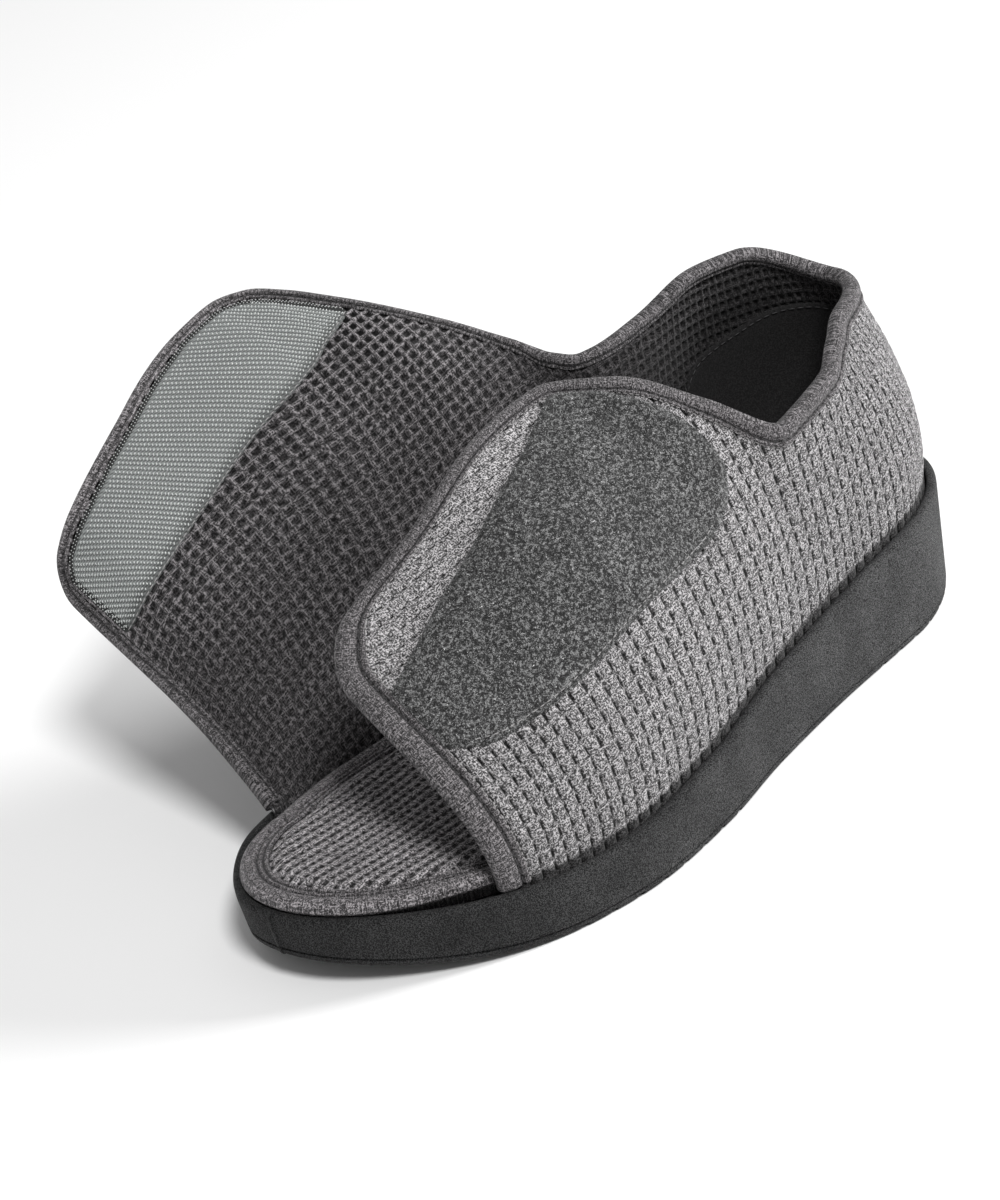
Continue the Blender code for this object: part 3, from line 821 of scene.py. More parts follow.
class Writer:
    """Writes the nodes of one material."""

    def __init__(self, name: str) -> None:
        """Start a material with its Principled shader.

        Args:
            name: The material's name.
        """
        self.material = bpy.data.materials.new(name)
        self.material.use_nodes = True
        self.tree = self.material.node_tree
        self.shader = self.tree.nodes["Principled BSDF"]

    def node(self, kind: str, inputs: Optional[dict] = None, **settings) -> Node:
        """Add a node, set its properties and fill its inputs with values or links.

        Args:
            kind: The node's type.
            inputs: Values or sockets by input name or number.
            settings: The node's own properties.

        Returns:
            The node.
        """
        node = self.tree.nodes.new(kind)
        for key, value in settings.items():
            setattr(node, key, value)
        for key, value in (inputs or {}).items():
            self.fill(node.inputs[key], value)
        return node

    def fill(self, socket: NodeSocket, value: object) -> None:
        """Link a socket, or set it to a value.

        Args:
            socket: The input.
            value: A socket to link, or a value to set.
        """
        if isinstance(value, NodeSocket):
            self.tree.links.new(value, socket)
        else:
            socket.default_value = value

    def math(self, operation: str, *values: object) -> NodeSocket:
        """Return the result of a Math node."""
        return self.node("ShaderNodeMath", dict(enumerate(values)), operation=operation).outputs[0]

    def noise(self, vector: object, scale: float, detail: float = 2.0, rough: float = 0.6) -> NodeSocket:
        """Return a noise's value, from 0 to 1."""
        inputs = {"Vector": vector, "Scale": scale, "Detail": detail, "Roughness": rough}
        return self.node("ShaderNodeTexNoise", inputs).outputs["Fac"]

    def ramp(self, value: object, stops: Sequence[tuple]) -> NodeSocket:
        """Return a grey or a colour looked up in a ramp of (place, colour) stops.

        Args:
            value: The value that is looked up.
            stops: The places and their greys or colours.

        Returns:
            A grey or a colour looked up in a ramp of (place, colour) stops.
        """
        node = self.node("ShaderNodeValToRGB", {"Fac": value})
        bar = node.color_ramp
        while len(bar.elements) < len(stops):
            bar.elements.new(0.5)
        for element, (place, colour) in zip(bar.elements, stops):
            element.position = place
            element.color = (*colour, 1.0) if isinstance(colour, tuple) else (*[colour] * 3, 1.0)
        return node.outputs["Color"]

    def place(self) -> NodeSocket:
        """Return the point's place on the object."""
        return self.node("ShaderNodeTexCoord").outputs["Object"]

    def shade(self) -> NodeSocket:
        """Return the painted shade here, from the mesh's own attribute."""
        return self.node("ShaderNodeAttribute", attribute_name="shade").outputs["Fac"]

    def ranged(
        self, value: object, start: float, stop: float, first: float = 0.0, last: float = 1.0,
        way: str = "LINEAR",
    ) -> NodeSocket:
        """Return a value moved from one range to another."""
        inputs = {0: value, 1: start, 2: stop, 3: first, 4: last}
        return self.node("ShaderNodeMapRange", inputs, interpolation_type=way).outputs[0]

    def ease(self, *values: object) -> NodeSocket:
        """Return a value moved smoothly from one range to another."""
        return self.ranged(*values, way="SMOOTHSTEP")

    def times(self, first: object, second: object) -> NodeSocket:
        """Return two colours multiplied.

        Args:
            first: A colour or its socket.
            second: Another.

        Returns:
            Two colours multiplied.
        """
        node = self.node("ShaderNodeMix", data_type="RGBA", blend_type="MULTIPLY")
        for number, value in ((0, 1.0), (6, first), (7, second)):
            self.fill(node.inputs[number], value)
        return node.outputs[2]

    def matt(self, specular: float, sheen: float = 0.0) -> None:
        """Set how much the surface mirrors and how much its fuzz glows."""
        self.shader.inputs["Specular IOR Level"].default_value = specular
        self.shader.inputs["Sheen Weight"].default_value = sheen

    def cloth_axes(self) -> tuple[NodeSocket, NodeSocket]:
        """Return the cloth coordinates along and up, in millimetres.

        Returns:
            The cloth coordinates along and up, in millimetres.
        """
        uv = self.node("ShaderNodeUVMap", uv_map="cloth").outputs[0]
        parts = self.node("ShaderNodeSeparateXYZ", {0: uv})
        return tuple(self.math("MULTIPLY", parts.outputs[axis], 1 / MM) for axis in (0, 1))

    def line_distance(self, value: object, pitch: float) -> NodeSocket:
        """Return the distance to the nearest of evenly spaced lines, as a share of the pitch."""
        return self.math("PINGPONG", self.math("DIVIDE", value, pitch), 0.5)

    def threads(self, fine: float, coarse: float) -> NodeSocket:
        """Return the fine lines of threads that run along and up the cloth, from 0 to 1.

        Args:
            fine: Cycles a millimetre across the threads.
            coarse: Cycles a millimetre along them.

        Returns:
            The fine lines of threads that run along and up the cloth, from 0 to 1.
        """
        along, up = self.cloth_axes()
        lines = []
        for x, y in ((fine, coarse), (coarse, fine)):
            inputs = {0: self.math("MULTIPLY", along, x), 1: self.math("MULTIPLY", up, y)}
            place = self.node("ShaderNodeCombineXYZ", inputs).outputs[0]
            lines.append(self.noise(place, 1.0, 1.0, 0.5))
        return self.math("SUBTRACT", self.math("MAXIMUM", *lines), 0.06)

    def finish(self, colour: object, rough: object, height: object, depth: float) -> Material:
        """Connect colour, roughness and bump, and return the material.

        Args:
            colour: The base colour.
            rough: The roughness.
            height: The bump's height, from 0 to 1.
            depth: The bump's depth in metres.

        Returns:
            The material.
        """
        self.fill(self.shader.inputs["Base Color"], colour)
        self.fill(self.shader.inputs["Roughness"], rough)
        inputs = {"Height": height, "Strength": 1.0, "Distance": depth}
        bump = self.node("ShaderNodeBump", inputs).outputs[0]
        self.fill(self.shader.inputs["Normal"], bump)
        return self.material


class Knit(Enum):
    """How a knit's cells stand: pillows with slits, pits in a net, or ribs in a row."""

    PILLOWS = "pillows"
    PITS = "pits"
    RIBS = "ribs"
    PLAIN = "plain"


@dataclass(frozen=True)
class KnitFinish:
    """Heathered knit cloth and fine fibres, with painted shade in its slits or pits and from its shade
    attribute.
    """

    name: str
    knit: Knit
    dark: float
    middle: float
    light: float
    warmth: float = 1.03
    along: float = 5.2
    up: float = 4.4
    # hollow is the share of colour that the painted shade leaves in slits and pits.
    hollow: float = 0.35
    speckle: float = 2300.0
    weave: float = 0.45
    sheen: float = 0.1

    def tint(self, grey: float) -> tuple[float, float, float]:
        """Return a warm grey."""
        return (grey * self.warmth, grey, grey * (1 + (self.warmth - 1) * 0.5))

    def material(self) -> Material:
        """Return the knit's material.

        Returns:
            The knit's material.
        """
        write = Writer(self.name)
        place = write.place()
        fibres = write.noise(place, self.speckle, 2.0, 0.6)
        strands = write.threads(2.8, 0.6)
        mixed = write.math("ADD", write.math("MULTIPLY", fibres, 1 - self.weave),
                           write.math("MULTIPLY", strands, self.weave))
        stops = ((0.44, self.tint(self.dark)), (0.5, self.tint(self.middle)), (0.565, self.tint(self.light)))
        colour = write.ramp(mixed, stops)
        patches = write.ramp(write.noise(place, 45.0, 2.0), ((0.3, 0.86), (0.7, 1.0)))
        colour = write.times(colour, patches)
        height = mixed
        shade = write.shade()
        if self.knit is not Knit.PLAIN:
            hollow = self.hollows(write)
            # Pits get less painted shade where the shade attribute already darkens the lining.
            if self.knit is Knit.PITS:
                hollow = write.math("MULTIPLY", hollow, write.math("SUBTRACT", 1.15, shade))
            # Painted shade in the slits or pits.
            dark = write.math("SUBTRACT", 1.0, write.math("MULTIPLY", hollow, 1 - self.hollow))
            colour = write.times(colour, dark)
            height = write.math("SUBTRACT", mixed, write.math("MULTIPLY", hollow, 1.5))
        # Painted shade from the mesh's shade attribute, and painted light where it is below 0.
        cast = write.math("SUBTRACT", 1.0, shade)
        colour = write.times(colour, cast)
        write.shader.inputs["Sheen Roughness"].default_value = 0.5
        write.matt(0.15, self.sheen)
        return write.finish(colour, 0.95, height, 0.25 * MM)

    def hollows(self, write: Writer) -> NodeSocket:
        """Return how deep a point lies in the knit's slits or pits, from 0 to 1.

        Args:
            write: The material that is being written.

        Returns:
            How deep a point lies in the knit's slits or pits, from 0 to 1.
        """
        along, up = write.cloth_axes()
        across, above = write.line_distance(along, self.along), write.line_distance(up, self.up)
        if self.knit is Knit.PITS:
            return write.math("MULTIPLY", *(write.ranged(value, 0.10, 0.25) for value in (across, above)))
        if self.knit is Knit.RIBS:
            notch = write.ranged(across, 0.1, 0.3, 0.45, 1.0)
            return write.math("MULTIPLY", write.ranged(above, 0.24, 0.36), notch)
        place = write.place()
        wander = write.math("MULTIPLY", write.math("SUBTRACT", write.noise(place, 420.0, 1.0), 0.5), 0.16)
        across = write.math("ADD", across, wander)
        share = write.math("FRACT", write.math("DIVIDE", up, self.up))
        column = write.math("FRACT", write.math("DIVIDE", along, self.along))
        tall = write.math("MULTIPLY", write.ease(share, 0.0, 0.12), write.ease(share, 0.5, 0.8, 1.0, 0.1))
        upright = write.math("MULTIPLY", write.ease(across, 0.03, 0.14, 1.0, 0.0), tall)
        # The front band is found by the painted light in its shade attribute.
        band = (write.shade(), *FRONT_BAND_SHADES)
        upright = write.math("MULTIPLY", upright, write.ease(*band, 0.12, 1.0))
        foot = write.math(
            "MULTIPLY", write.ease(above, 0.02, 0.11, 1.0, 0.0), write.ease(column, 0.25, 0.9, 0.05, 0.6)
        )
        foot = write.math("MULTIPLY", foot, write.ease(*band, 1.7, 1.0))
        return write.math("MAXIMUM", upright, foot)


@dataclass(frozen=True)
class PileFinish:
    """Brushed loop pile: dark, with lighter fibres here and there."""

    name: str
    dark: float = 0.015
    middle: float = 0.045
    light: float = 0.22

    def material(self) -> Material:
        """Return the pile's material.

        Returns:
            The pile's material.
        """
        write = Writer(self.name)
        place = write.place()
        tufts = write.noise(place, 900.0, 3.0, 0.7)
        fibres = write.noise(place, 2600.0, 2.0, 0.7)
        mixed = write.math("ADD", write.math("MULTIPLY", tufts, 0.5), write.math("MULTIPLY", fibres, 0.5))
        colour = write.ramp(mixed, ((0.44, self.dark), (0.51, self.middle), (0.58, self.light)))
        patches = write.ramp(write.noise(place, 70.0, 2.0), ((0.35, 0.8), (0.65, 1.0)))
        colour = write.times(colour, patches)
        write.matt(0.15, 0.1)
        return write.finish(colour, 0.9, mixed, 0.5 * MM)


@dataclass(frozen=True)
class ThreadFinish:
    """Spun thread, a moulded hook's plastic or a painted shadow line, in one grey."""

    name: str
    colour: tuple[float, float, float]
    roughness: float = 0.6

    def material(self) -> Material:
        """Return the thread's material.

        Returns:
            The thread's material.
        """
        write = Writer(self.name)
        place = write.place()
        twist = write.noise(place, 3000.0)
        dark = tuple(channel * 0.7 for channel in self.colour)
        colour = write.ramp(twist, ((0.3, dark), (0.7, self.colour)))
        return write.finish(colour, self.roughness, twist, 0.05 * MM)


@dataclass(frozen=True)
class HookBaseFinish:
    """The woven ground of the hook strip, with its rows and painted shade between them."""

    name: str
    colour: tuple[float, float, float] = (0.25, 0.265, 0.26)
    row: float = 1.7

    def material(self) -> Material:
        """Return the ground's material.

        Returns:
            The ground's material.
        """
        write = Writer(self.name)
        along, up = write.cloth_axes()
        across = write.math("SUBTRACT", 0.5, write.line_distance(along, self.row))
        threads = write.line_distance(up, 0.78)
        weave = write.math("ADD", write.math("MULTIPLY", across, 0.8), write.math("MULTIPLY", threads, 0.8))
        # Woven threads, and painted shade between the rows of hooks.
        colour = write.ramp(weave, ((0.15, tuple(c * 0.3 for c in self.colour)), (0.5, self.colour)))
        # The shade attribute darkens the strip's high band and paints shade towards its low edge.
        shade = write.shade()
        colour = write.times(colour, write.math("SUBTRACT", 1.0, shade))
        return write.finish(colour, 0.6, weave, 0.3 * MM)


@dataclass(frozen=True)
class FoamRubberFinish:
    """Moulded foam rubber: nearly black, pebbled and a little glossy, with painted light towards the heel and
    painted shade towards the toe.
    """

    name: str
    colour: tuple[float, float, float] = (0.055, 0.055, 0.056)
    scuffed: tuple[float, float, float] = (0.095, 0.095, 0.096)

    def material(self) -> Material:
        """Return the rubber's material.

        Returns:
            The rubber's material.
        """
        write = Writer(self.name)
        place = write.place()
        grain = write.noise(place, 3000.0, 2.0, 0.7)
        patches = write.noise(place, 60.0, 3.0, 0.6)
        colour = write.ramp(patches, ((0.35, self.colour), (0.75, self.scuffed)))
        speckle = write.ramp(grain, ((0.45, 0.12), (0.58, 1.0)))
        colour = write.times(colour, speckle)
        # Painted light towards the heel and painted shade towards the toe.
        ahead = write.node("ShaderNodeSeparateXYZ", {0: place}).outputs[0]
        colour = write.times(colour, write.ranged(ahead, -0.03, 0.23, 1.7, 0.75))
        rough = write.ranged(grain, 0.4, 0.6, 0.75, 0.5)
        write.matt(0.12)
        return write.finish(colour, rough, grain, 0.8 * MM)


class Edge(Enum):
    """Which part of a patch's border is meant."""

    ALL = "all"
    LOW = "low"
    HIGH = "high and both ends"


class SurfaceSpots(NamedTuple):
    """Places on a surface, with the directions along a seam and out of it."""

    points: Array
    run: Array
    out: Array


class Maker:
    """Makes small repeated pieces with Geometry Nodes."""

    def __init__(self, name: str) -> None:
        """Start a node tree with a geometry input and output.

        Args:
            name: The tree's name.
        """
        self.tree = bpy.data.node_groups.new(name, "GeometryNodeTree")
        self.tree.interface.new_socket("Geometry", in_out="INPUT", socket_type="NodeSocketGeometry")
        self.tree.interface.new_socket("Geometry", in_out="OUTPUT", socket_type="NodeSocketGeometry")
        self.values: dict[str, object] = {}
        self.start = self.tree.nodes.new("NodeGroupInput")
        self.end = self.tree.nodes.new("NodeGroupOutput")

    def size(self, name: str, value: float) -> NodeSocket:
        """Add a named input for a size and return its socket.

        Args:
            name: The input's name.
            value: Its value, a whole number or not.

        Returns:
            The input's socket.
        """
        kind = "NodeSocketInt" if isinstance(value, int) else "NodeSocketFloat"
        socket = self.tree.interface.new_socket(name, in_out="INPUT", socket_type=kind)
        self.values[socket.identifier] = value
        return self.start.outputs[name]

    def node(self, kind: str, inputs: Optional[dict] = None, **settings) -> Node:
        """Add a node, set its properties and fill its inputs by identifier.

        Args:
            kind: The node's type.
            inputs: Values or sockets by input identifier.
            settings: The node's own properties.

        Returns:
            The node.
        """
        node = self.tree.nodes.new(kind)
        for key, value in settings.items():
            setattr(node, key, value)
        by_name = {socket.identifier: socket for socket in node.inputs}
        for key, value in (inputs or {}).items():
            if isinstance(value, NodeSocket):
                self.tree.links.new(value, by_name[key])
            else:
                by_name[key].default_value = value
        return node

    def vector(self, x: object, y: object, z: object) -> NodeSocket:
        """Return a vector of three values or sockets."""
        return self.node("ShaderNodeCombineXYZ", {"X": x, "Y": y, "Z": z}).outputs[0]

    def finish(self, geometry: NodeSocket, material: Material) -> None:
        """End the tree with real geometry and its material.

        Args:
            geometry: The shapes, as instances or real.
            material: The result's finish.
        """
        real = self.node("GeometryNodeRealizeInstances", {"Geometry": geometry})
        done = self.node("GeometryNodeSetMaterial", {"Geometry": real.outputs[0], "Material": material})
        self.tree.links.new(done.outputs[0], self.end.inputs[0])

    def apply(self, name: str, base: Object, material: Material) -> Object:
        """Run the tree on an object and return the result as a plain mesh object.

        Args:
            name: The new object's name.
            base: The object that carries the points or the surface.
            material: The result's finish.

        Returns:
            The new object.
        """
        modifier = base.modifiers.new(name, "NODES")
        modifier.node_group = self.tree
        for identifier, value in self.values.items():
            modifier[identifier] = value
        mesh = evaluated_mesh(base, modifier)
        mesh.name = name
        mesh.materials.clear()
        mesh.materials.append(material)
        mesh.shade_smooth()
        return linked(name, mesh)


def carrier(name: str, spots: SurfaceSpots) -> Object:
    """Return a helper object whose points carry their directions as attributes.

    Args:
        name: The helper's name.
        spots: The points and their directions.

    Returns:
        A helper object whose points carry their directions as attributes.
    """
    mesh = bpy.data.meshes.new(name)
    mesh.from_pydata(spots.points.tolist(), [], [])
    for label, values in (("run", spots.run), ("out", spots.out)):
        mesh.attributes.new(label, "FLOAT_VECTOR", "POINT").data.foreach_set("vector", values.ravel())
    return linked(name, mesh)


def planted(
    maker: Maker, name: str, copies: NodeSocket, spots: SurfaceSpots, material: Material
) -> Object:
    """Finish a tree that copies a shape to spots, run it and return the copies.

    Args:
        maker: The tree that is being written.
        name: The piece's name.
        copies: The instances that the tree makes.
        spots: Where the copies stand and how they face.
        material: The piece's finish.

    Returns:
        The copies as one object.
    """
    maker.finish(copies, material)
    base = carrier(name + "_spots", spots)
    made = maker.apply(name, base, material)
    bpy.data.objects.remove(base)
    return made


def facing(maker: Maker) -> NodeSocket:
    """Return the rotation that turns Z outwards and X along the seam at each point.

    Args:
        maker: The tree that is being written.

    Returns:
        The rotation that turns Z outwards and X along the seam at each point.
    """
    out = maker.node("GeometryNodeInputNamedAttribute", {"Name": "out"}, data_type="FLOAT_VECTOR")
    run = maker.node("GeometryNodeInputNamedAttribute", {"Name": "run"}, data_type="FLOAT_VECTOR")
    axes = {"Primary Axis": out.outputs[0], "Secondary Axis": run.outputs[0]}
    turn = maker.node("FunctionNodeAxesToRotation", axes, primary_axis="Z", secondary_axis="X")
    return turn.outputs[0]


@dataclass(frozen=True)
class Stitches:
    """A row of short thread stitches."""

    length: float = 2.3 * MM
    width: float = 0.42 * MM
    height: float = 0.30 * MM

    def sew(self, name: str, spots: SurfaceSpots, material: Material) -> Object:
        """Lay one stitch at each spot, along the seam.

        Args:
            name: The piece's name.
            spots: Where the copies stand and how they face.
            material: The piece's finish.

        Returns:
            The stitches as one object.
        """
        maker = Maker(name)
        length = maker.size("Stitch length", self.length)
        width = maker.size("Stitch width", self.width)
        height = maker.size("Stitch height", self.height)
        bead = maker.node("GeometryNodeMeshUVSphere", {"Segments": 6, "Rings": 4, "Radius": 0.5})
        shape = maker.node(
            "GeometryNodeTransform",
            {"Geometry": bead.outputs[0], "Scale": maker.vector(length, width, height)},
        )
        copies = maker.node("GeometryNodeInstanceOnPoints", {
            "Points": maker.start.outputs[0], "Instance": shape.outputs[0], "Rotation": facing(maker),
        })
        return planted(maker, name, copies.outputs[0], spots, material)


@dataclass(frozen=True)
class Hooks:
    """Rows of small bent plastic hooks."""

    radius: float = 0.26 * MM
    thread: float = 0.18 * MM
    seed: int = 7

    def plant(self, name: str, spots: SurfaceSpots, material: Material) -> Object:
        """Stand one hook at each spot.

        Args:
            name: The piece's name.
            spots: Where the copies stand and how they face.
            material: The piece's finish.

        Returns:
            The hooks as one object.
        """
        maker = Maker(name)
        radius = maker.size("Hook radius", self.radius)
        thread = maker.size("Thread radius", self.thread)
        seed = maker.size("Seed", self.seed)
        arc = maker.node("GeometryNodeCurveArc", {
            "Resolution": 5, "Radius": radius,
            "Start Angle": math.radians(-35), "Sweep Angle": math.radians(235),
        })
        outline = maker.node("GeometryNodeCurvePrimitiveCircle", {"Resolution": 3, "Radius": thread})
        bent = maker.node("GeometryNodeCurveToMesh", {
            "Curve": arc.outputs[0], "Profile Curve": outline.outputs[0], "Fill Caps": True,
        })
        raised = maker.node("GeometryNodeTransform", {
            "Geometry": bent.outputs[0], "Rotation": (math.pi / 2, 0.0, 0.0),
            "Translation": maker.vector(0.0, 0.0, radius),
        })
        turn = maker.node("FunctionNodeRandomValue", {
            "Min": (-0.25, -0.25, -0.5), "Max": (0.25, 0.25, 0.5), "Seed": seed,
        }, data_type="FLOAT_VECTOR")
        copies = maker.node("GeometryNodeInstanceOnPoints", {
            "Points": maker.start.outputs[0], "Instance": raised.outputs[0], "Rotation": facing(maker),
        })
        varied = maker.node("GeometryNodeRotateInstances", {
            "Instances": copies.outputs[0], "Rotation": turn.outputs[0],
        })
        return planted(maker, name, varied.outputs[0], spots, material)


@dataclass(frozen=True)
class Fibres:
    """Short fibres scattered over a surface, each a thin closed cone."""

    length: float
    radius: float
    density: float
    lean: float
    seed: int = 3

    def scatter(self, name: str, surface: Object, material: Material) -> Object:
        """Grow the fibres on a surface.

        Args:
            name: The new object's name.
            surface: The object whose faces carry the fibres.
            material: The fibres' finish.

        Returns:
            The fibres as one mesh object.
        """
        maker = Maker(name)
        length = maker.size("Fibre length", self.length)
        radius = maker.size("Fibre radius", self.radius)
        density = maker.size("Fibres per square metre", self.density)
        seed = maker.size("Seed", self.seed)
        fibre = maker.node("GeometryNodeMeshCone", {
            "Vertices": 3, "Radius Top": self.radius / 3, "Radius Bottom": radius, "Depth": length,
        })
        spots = maker.node("GeometryNodeDistributePointsOnFaces", {
            "Mesh": maker.start.outputs[0], "Density": density, "Seed": seed,
        })
        turn = maker.node("FunctionNodeRandomValue", {
            "Min": (-self.lean, -self.lean, -math.pi), "Max": (self.lean, self.lean, math.pi), "Seed": seed,
        }, data_type="FLOAT_VECTOR")
        size = maker.node("FunctionNodeRandomValue", {"Min_001": 0.55, "Max_001": 1.25, "Seed": seed})
        copies = maker.node("GeometryNodeInstanceOnPoints", {
            "Points": spots.outputs[0], "Instance": fibre.outputs[0],
            "Rotation": spots.outputs["Rotation"], "Scale": size.outputs[1],
        })
        varied = maker.node("GeometryNodeRotateInstances", {
            "Instances": copies.outputs[0], "Rotation": turn.outputs[0],
        })
        maker.finish(varied.outputs[0], material)
        return maker.apply(name, surface, material)


def spots_along(line: Array, out: Array, pitch: float) -> SurfaceSpots:
    """Return even spots along a line of points.

    Args:
        line: The line's points.
        out: The outward direction at each.
        pitch: The distance between spots.

    Returns:
        The spots with their directions.
    """
    length = run_lengths(line)
    even = np.arange(pitch / 2, length[-1], pitch)

    def at(places: Array, values: Array) -> Array:
        """Return the values at places along the line."""
        return np.stack([np.interp(places, length, values[:, k]) for k in range(3)], axis=1)

    run = at(even + pitch / 4, line) - at(even - pitch / 4, line)
    return SurfaceSpots(at(even, line), unit(run), unit(at(even, out)))


def joined_spots(*groups: SurfaceSpots) -> SurfaceSpots:
    """Return several groups of spots as one."""
    return SurfaceSpots(*(np.concatenate([group[k] for group in groups]) for k in range(3)))


@dataclass(frozen=True)
class Seam:
    """Rows of stitches of one size, a pitch apart."""

    name: str
    pitch: float
    stitch: Stitches
    slot: str


class Part:
    """A sub-assembly whose pieces ride on the slipper's one body."""

    def keep(self, item: Object, slot: str, *nodes: str) -> Object:
        """Put a piece on the body, hide the solids that it stands for and log its triangles.

        Args:
            item: The finished piece.
            slot: The material slot that it takes its finish from; not used.
            nodes: The solids that it replaces.

        Returns:
            The piece.
        """
        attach(item, BODY)
        if nodes:
            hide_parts(*nodes)
        item.data.calc_loop_triangles()
        log.info("%s: %d triangles", item.name, len(item.data.loop_triangles))
        return item

    def sew(self, seam: Seam, thread: Material, *lines: tuple[Array, Array]) -> None:
        """Sew a seam along lines, each given by its points and outward directions."""
        spots = [spots_along(points, out, seam.pitch) for points, out in lines]
        self.keep(seam.stitch.sew(seam.name, joined_spots(*spots), thread), seam.slot)


@dataclass(frozen=True)
class KnitGrid:
    """The courses and wales of one layer of cloth, as they run round the upper.

    stretch gives the wale's pitch, and slope how much the courses climb, at places in
    millimetres from the outer front edge.
    """

    cell: tuple[float, float]
    marks: tuple[float, ...]
    levels: tuple[float, ...]
    stretch: tuple[tuple[float, float], ...]
    slope: tuple[tuple[float, float], ...]

    def summed(self, rate: Callable[[Array], Array], total: float) -> tuple[Array, Array]:
        """Return places along the cloth and a rate summed up to each.

        Args:
            rate: Gives the rate at each place.
            total: The cloth's length round the foot.

        Returns:
            Places along the cloth and a rate summed up to each.
        """
        along = np.linspace(0, total, 2000)
        value = rate(along)
        steps = (value[1:] + value[:-1]) / 2 * np.diff(along)
        return along, np.concatenate([[0], np.cumsum(steps)])

    def wales(self, total: float) -> tuple[Array, Array]:
        """Return the grid's columns and the number of cells up to each.

        Args:
            total: The cloth's length round the foot.

        Returns:
            The grid's columns and the number of cells up to each.
        """
        line = smooth_line([row[0] * MM for row in self.stretch], [row[1] * MM for row in self.stretch])
        along, cells = self.summed(lambda place: 1 / line(place), total)
        numbers = repeats(1.0, self.marks, 0.05, cells[-1] - 0.05)
        numbers = np.concatenate([[0.0], numbers, [cells[-1]]])
        return np.interp(numbers, cells, along), numbers

    def climb(self, columns: Array, total: float) -> Array:
        """Return how far the courses have climbed at each column.

        Args:
            columns: The columns' places.
            total: The cloth's length round the foot.

        Returns:
            How far the courses have climbed at each column.
        """
        line = smooth_line([row[0] * MM for row in self.slope], [row[1] for row in self.slope])
        along, height = self.summed(line, total)
        return np.interp(columns, along, height)


OUTER_GRID = KnitGrid(
    cell=(5.2 * MM, 4.45 * MM),
    marks=(0.0, 0.1, 0.3, 0.55, 0.78, 0.9),
    levels=(0.02, 0.12, 0.3, 0.5, 0.68, 0.84),
    stretch=((0, 3.7), (27, 3.9), (57, 4.8), (78, 5.5), (92, 5.9), (118, 5.5), (137, 5.2), (158, 4.8),
             (175, 4.6), (245, 4.6), (491, 4.8)),
    slope=((0, 0.2), (27, 0.15), (57, -0.04), (78, -0.08), (92, -0.13), (118, -0.07), (137, 0.0),
           (158, 0.09), (175, 0.18), (215, 0.15), (260, 0.0), (491, 0.0)),
)
LINING_GRID = KnitGrid(
    cell=(3.1 * MM, 3.5 * MM),
    marks=(0.08, 0.32, 0.68, 0.92),
    levels=(0.08, 0.32, 0.68, 0.92),
    stretch=((0, 3.1), (491, 3.1)),
    slope=((0, 0.0), (360, 0.0), (390, -0.27), (491, -0.27)),
)


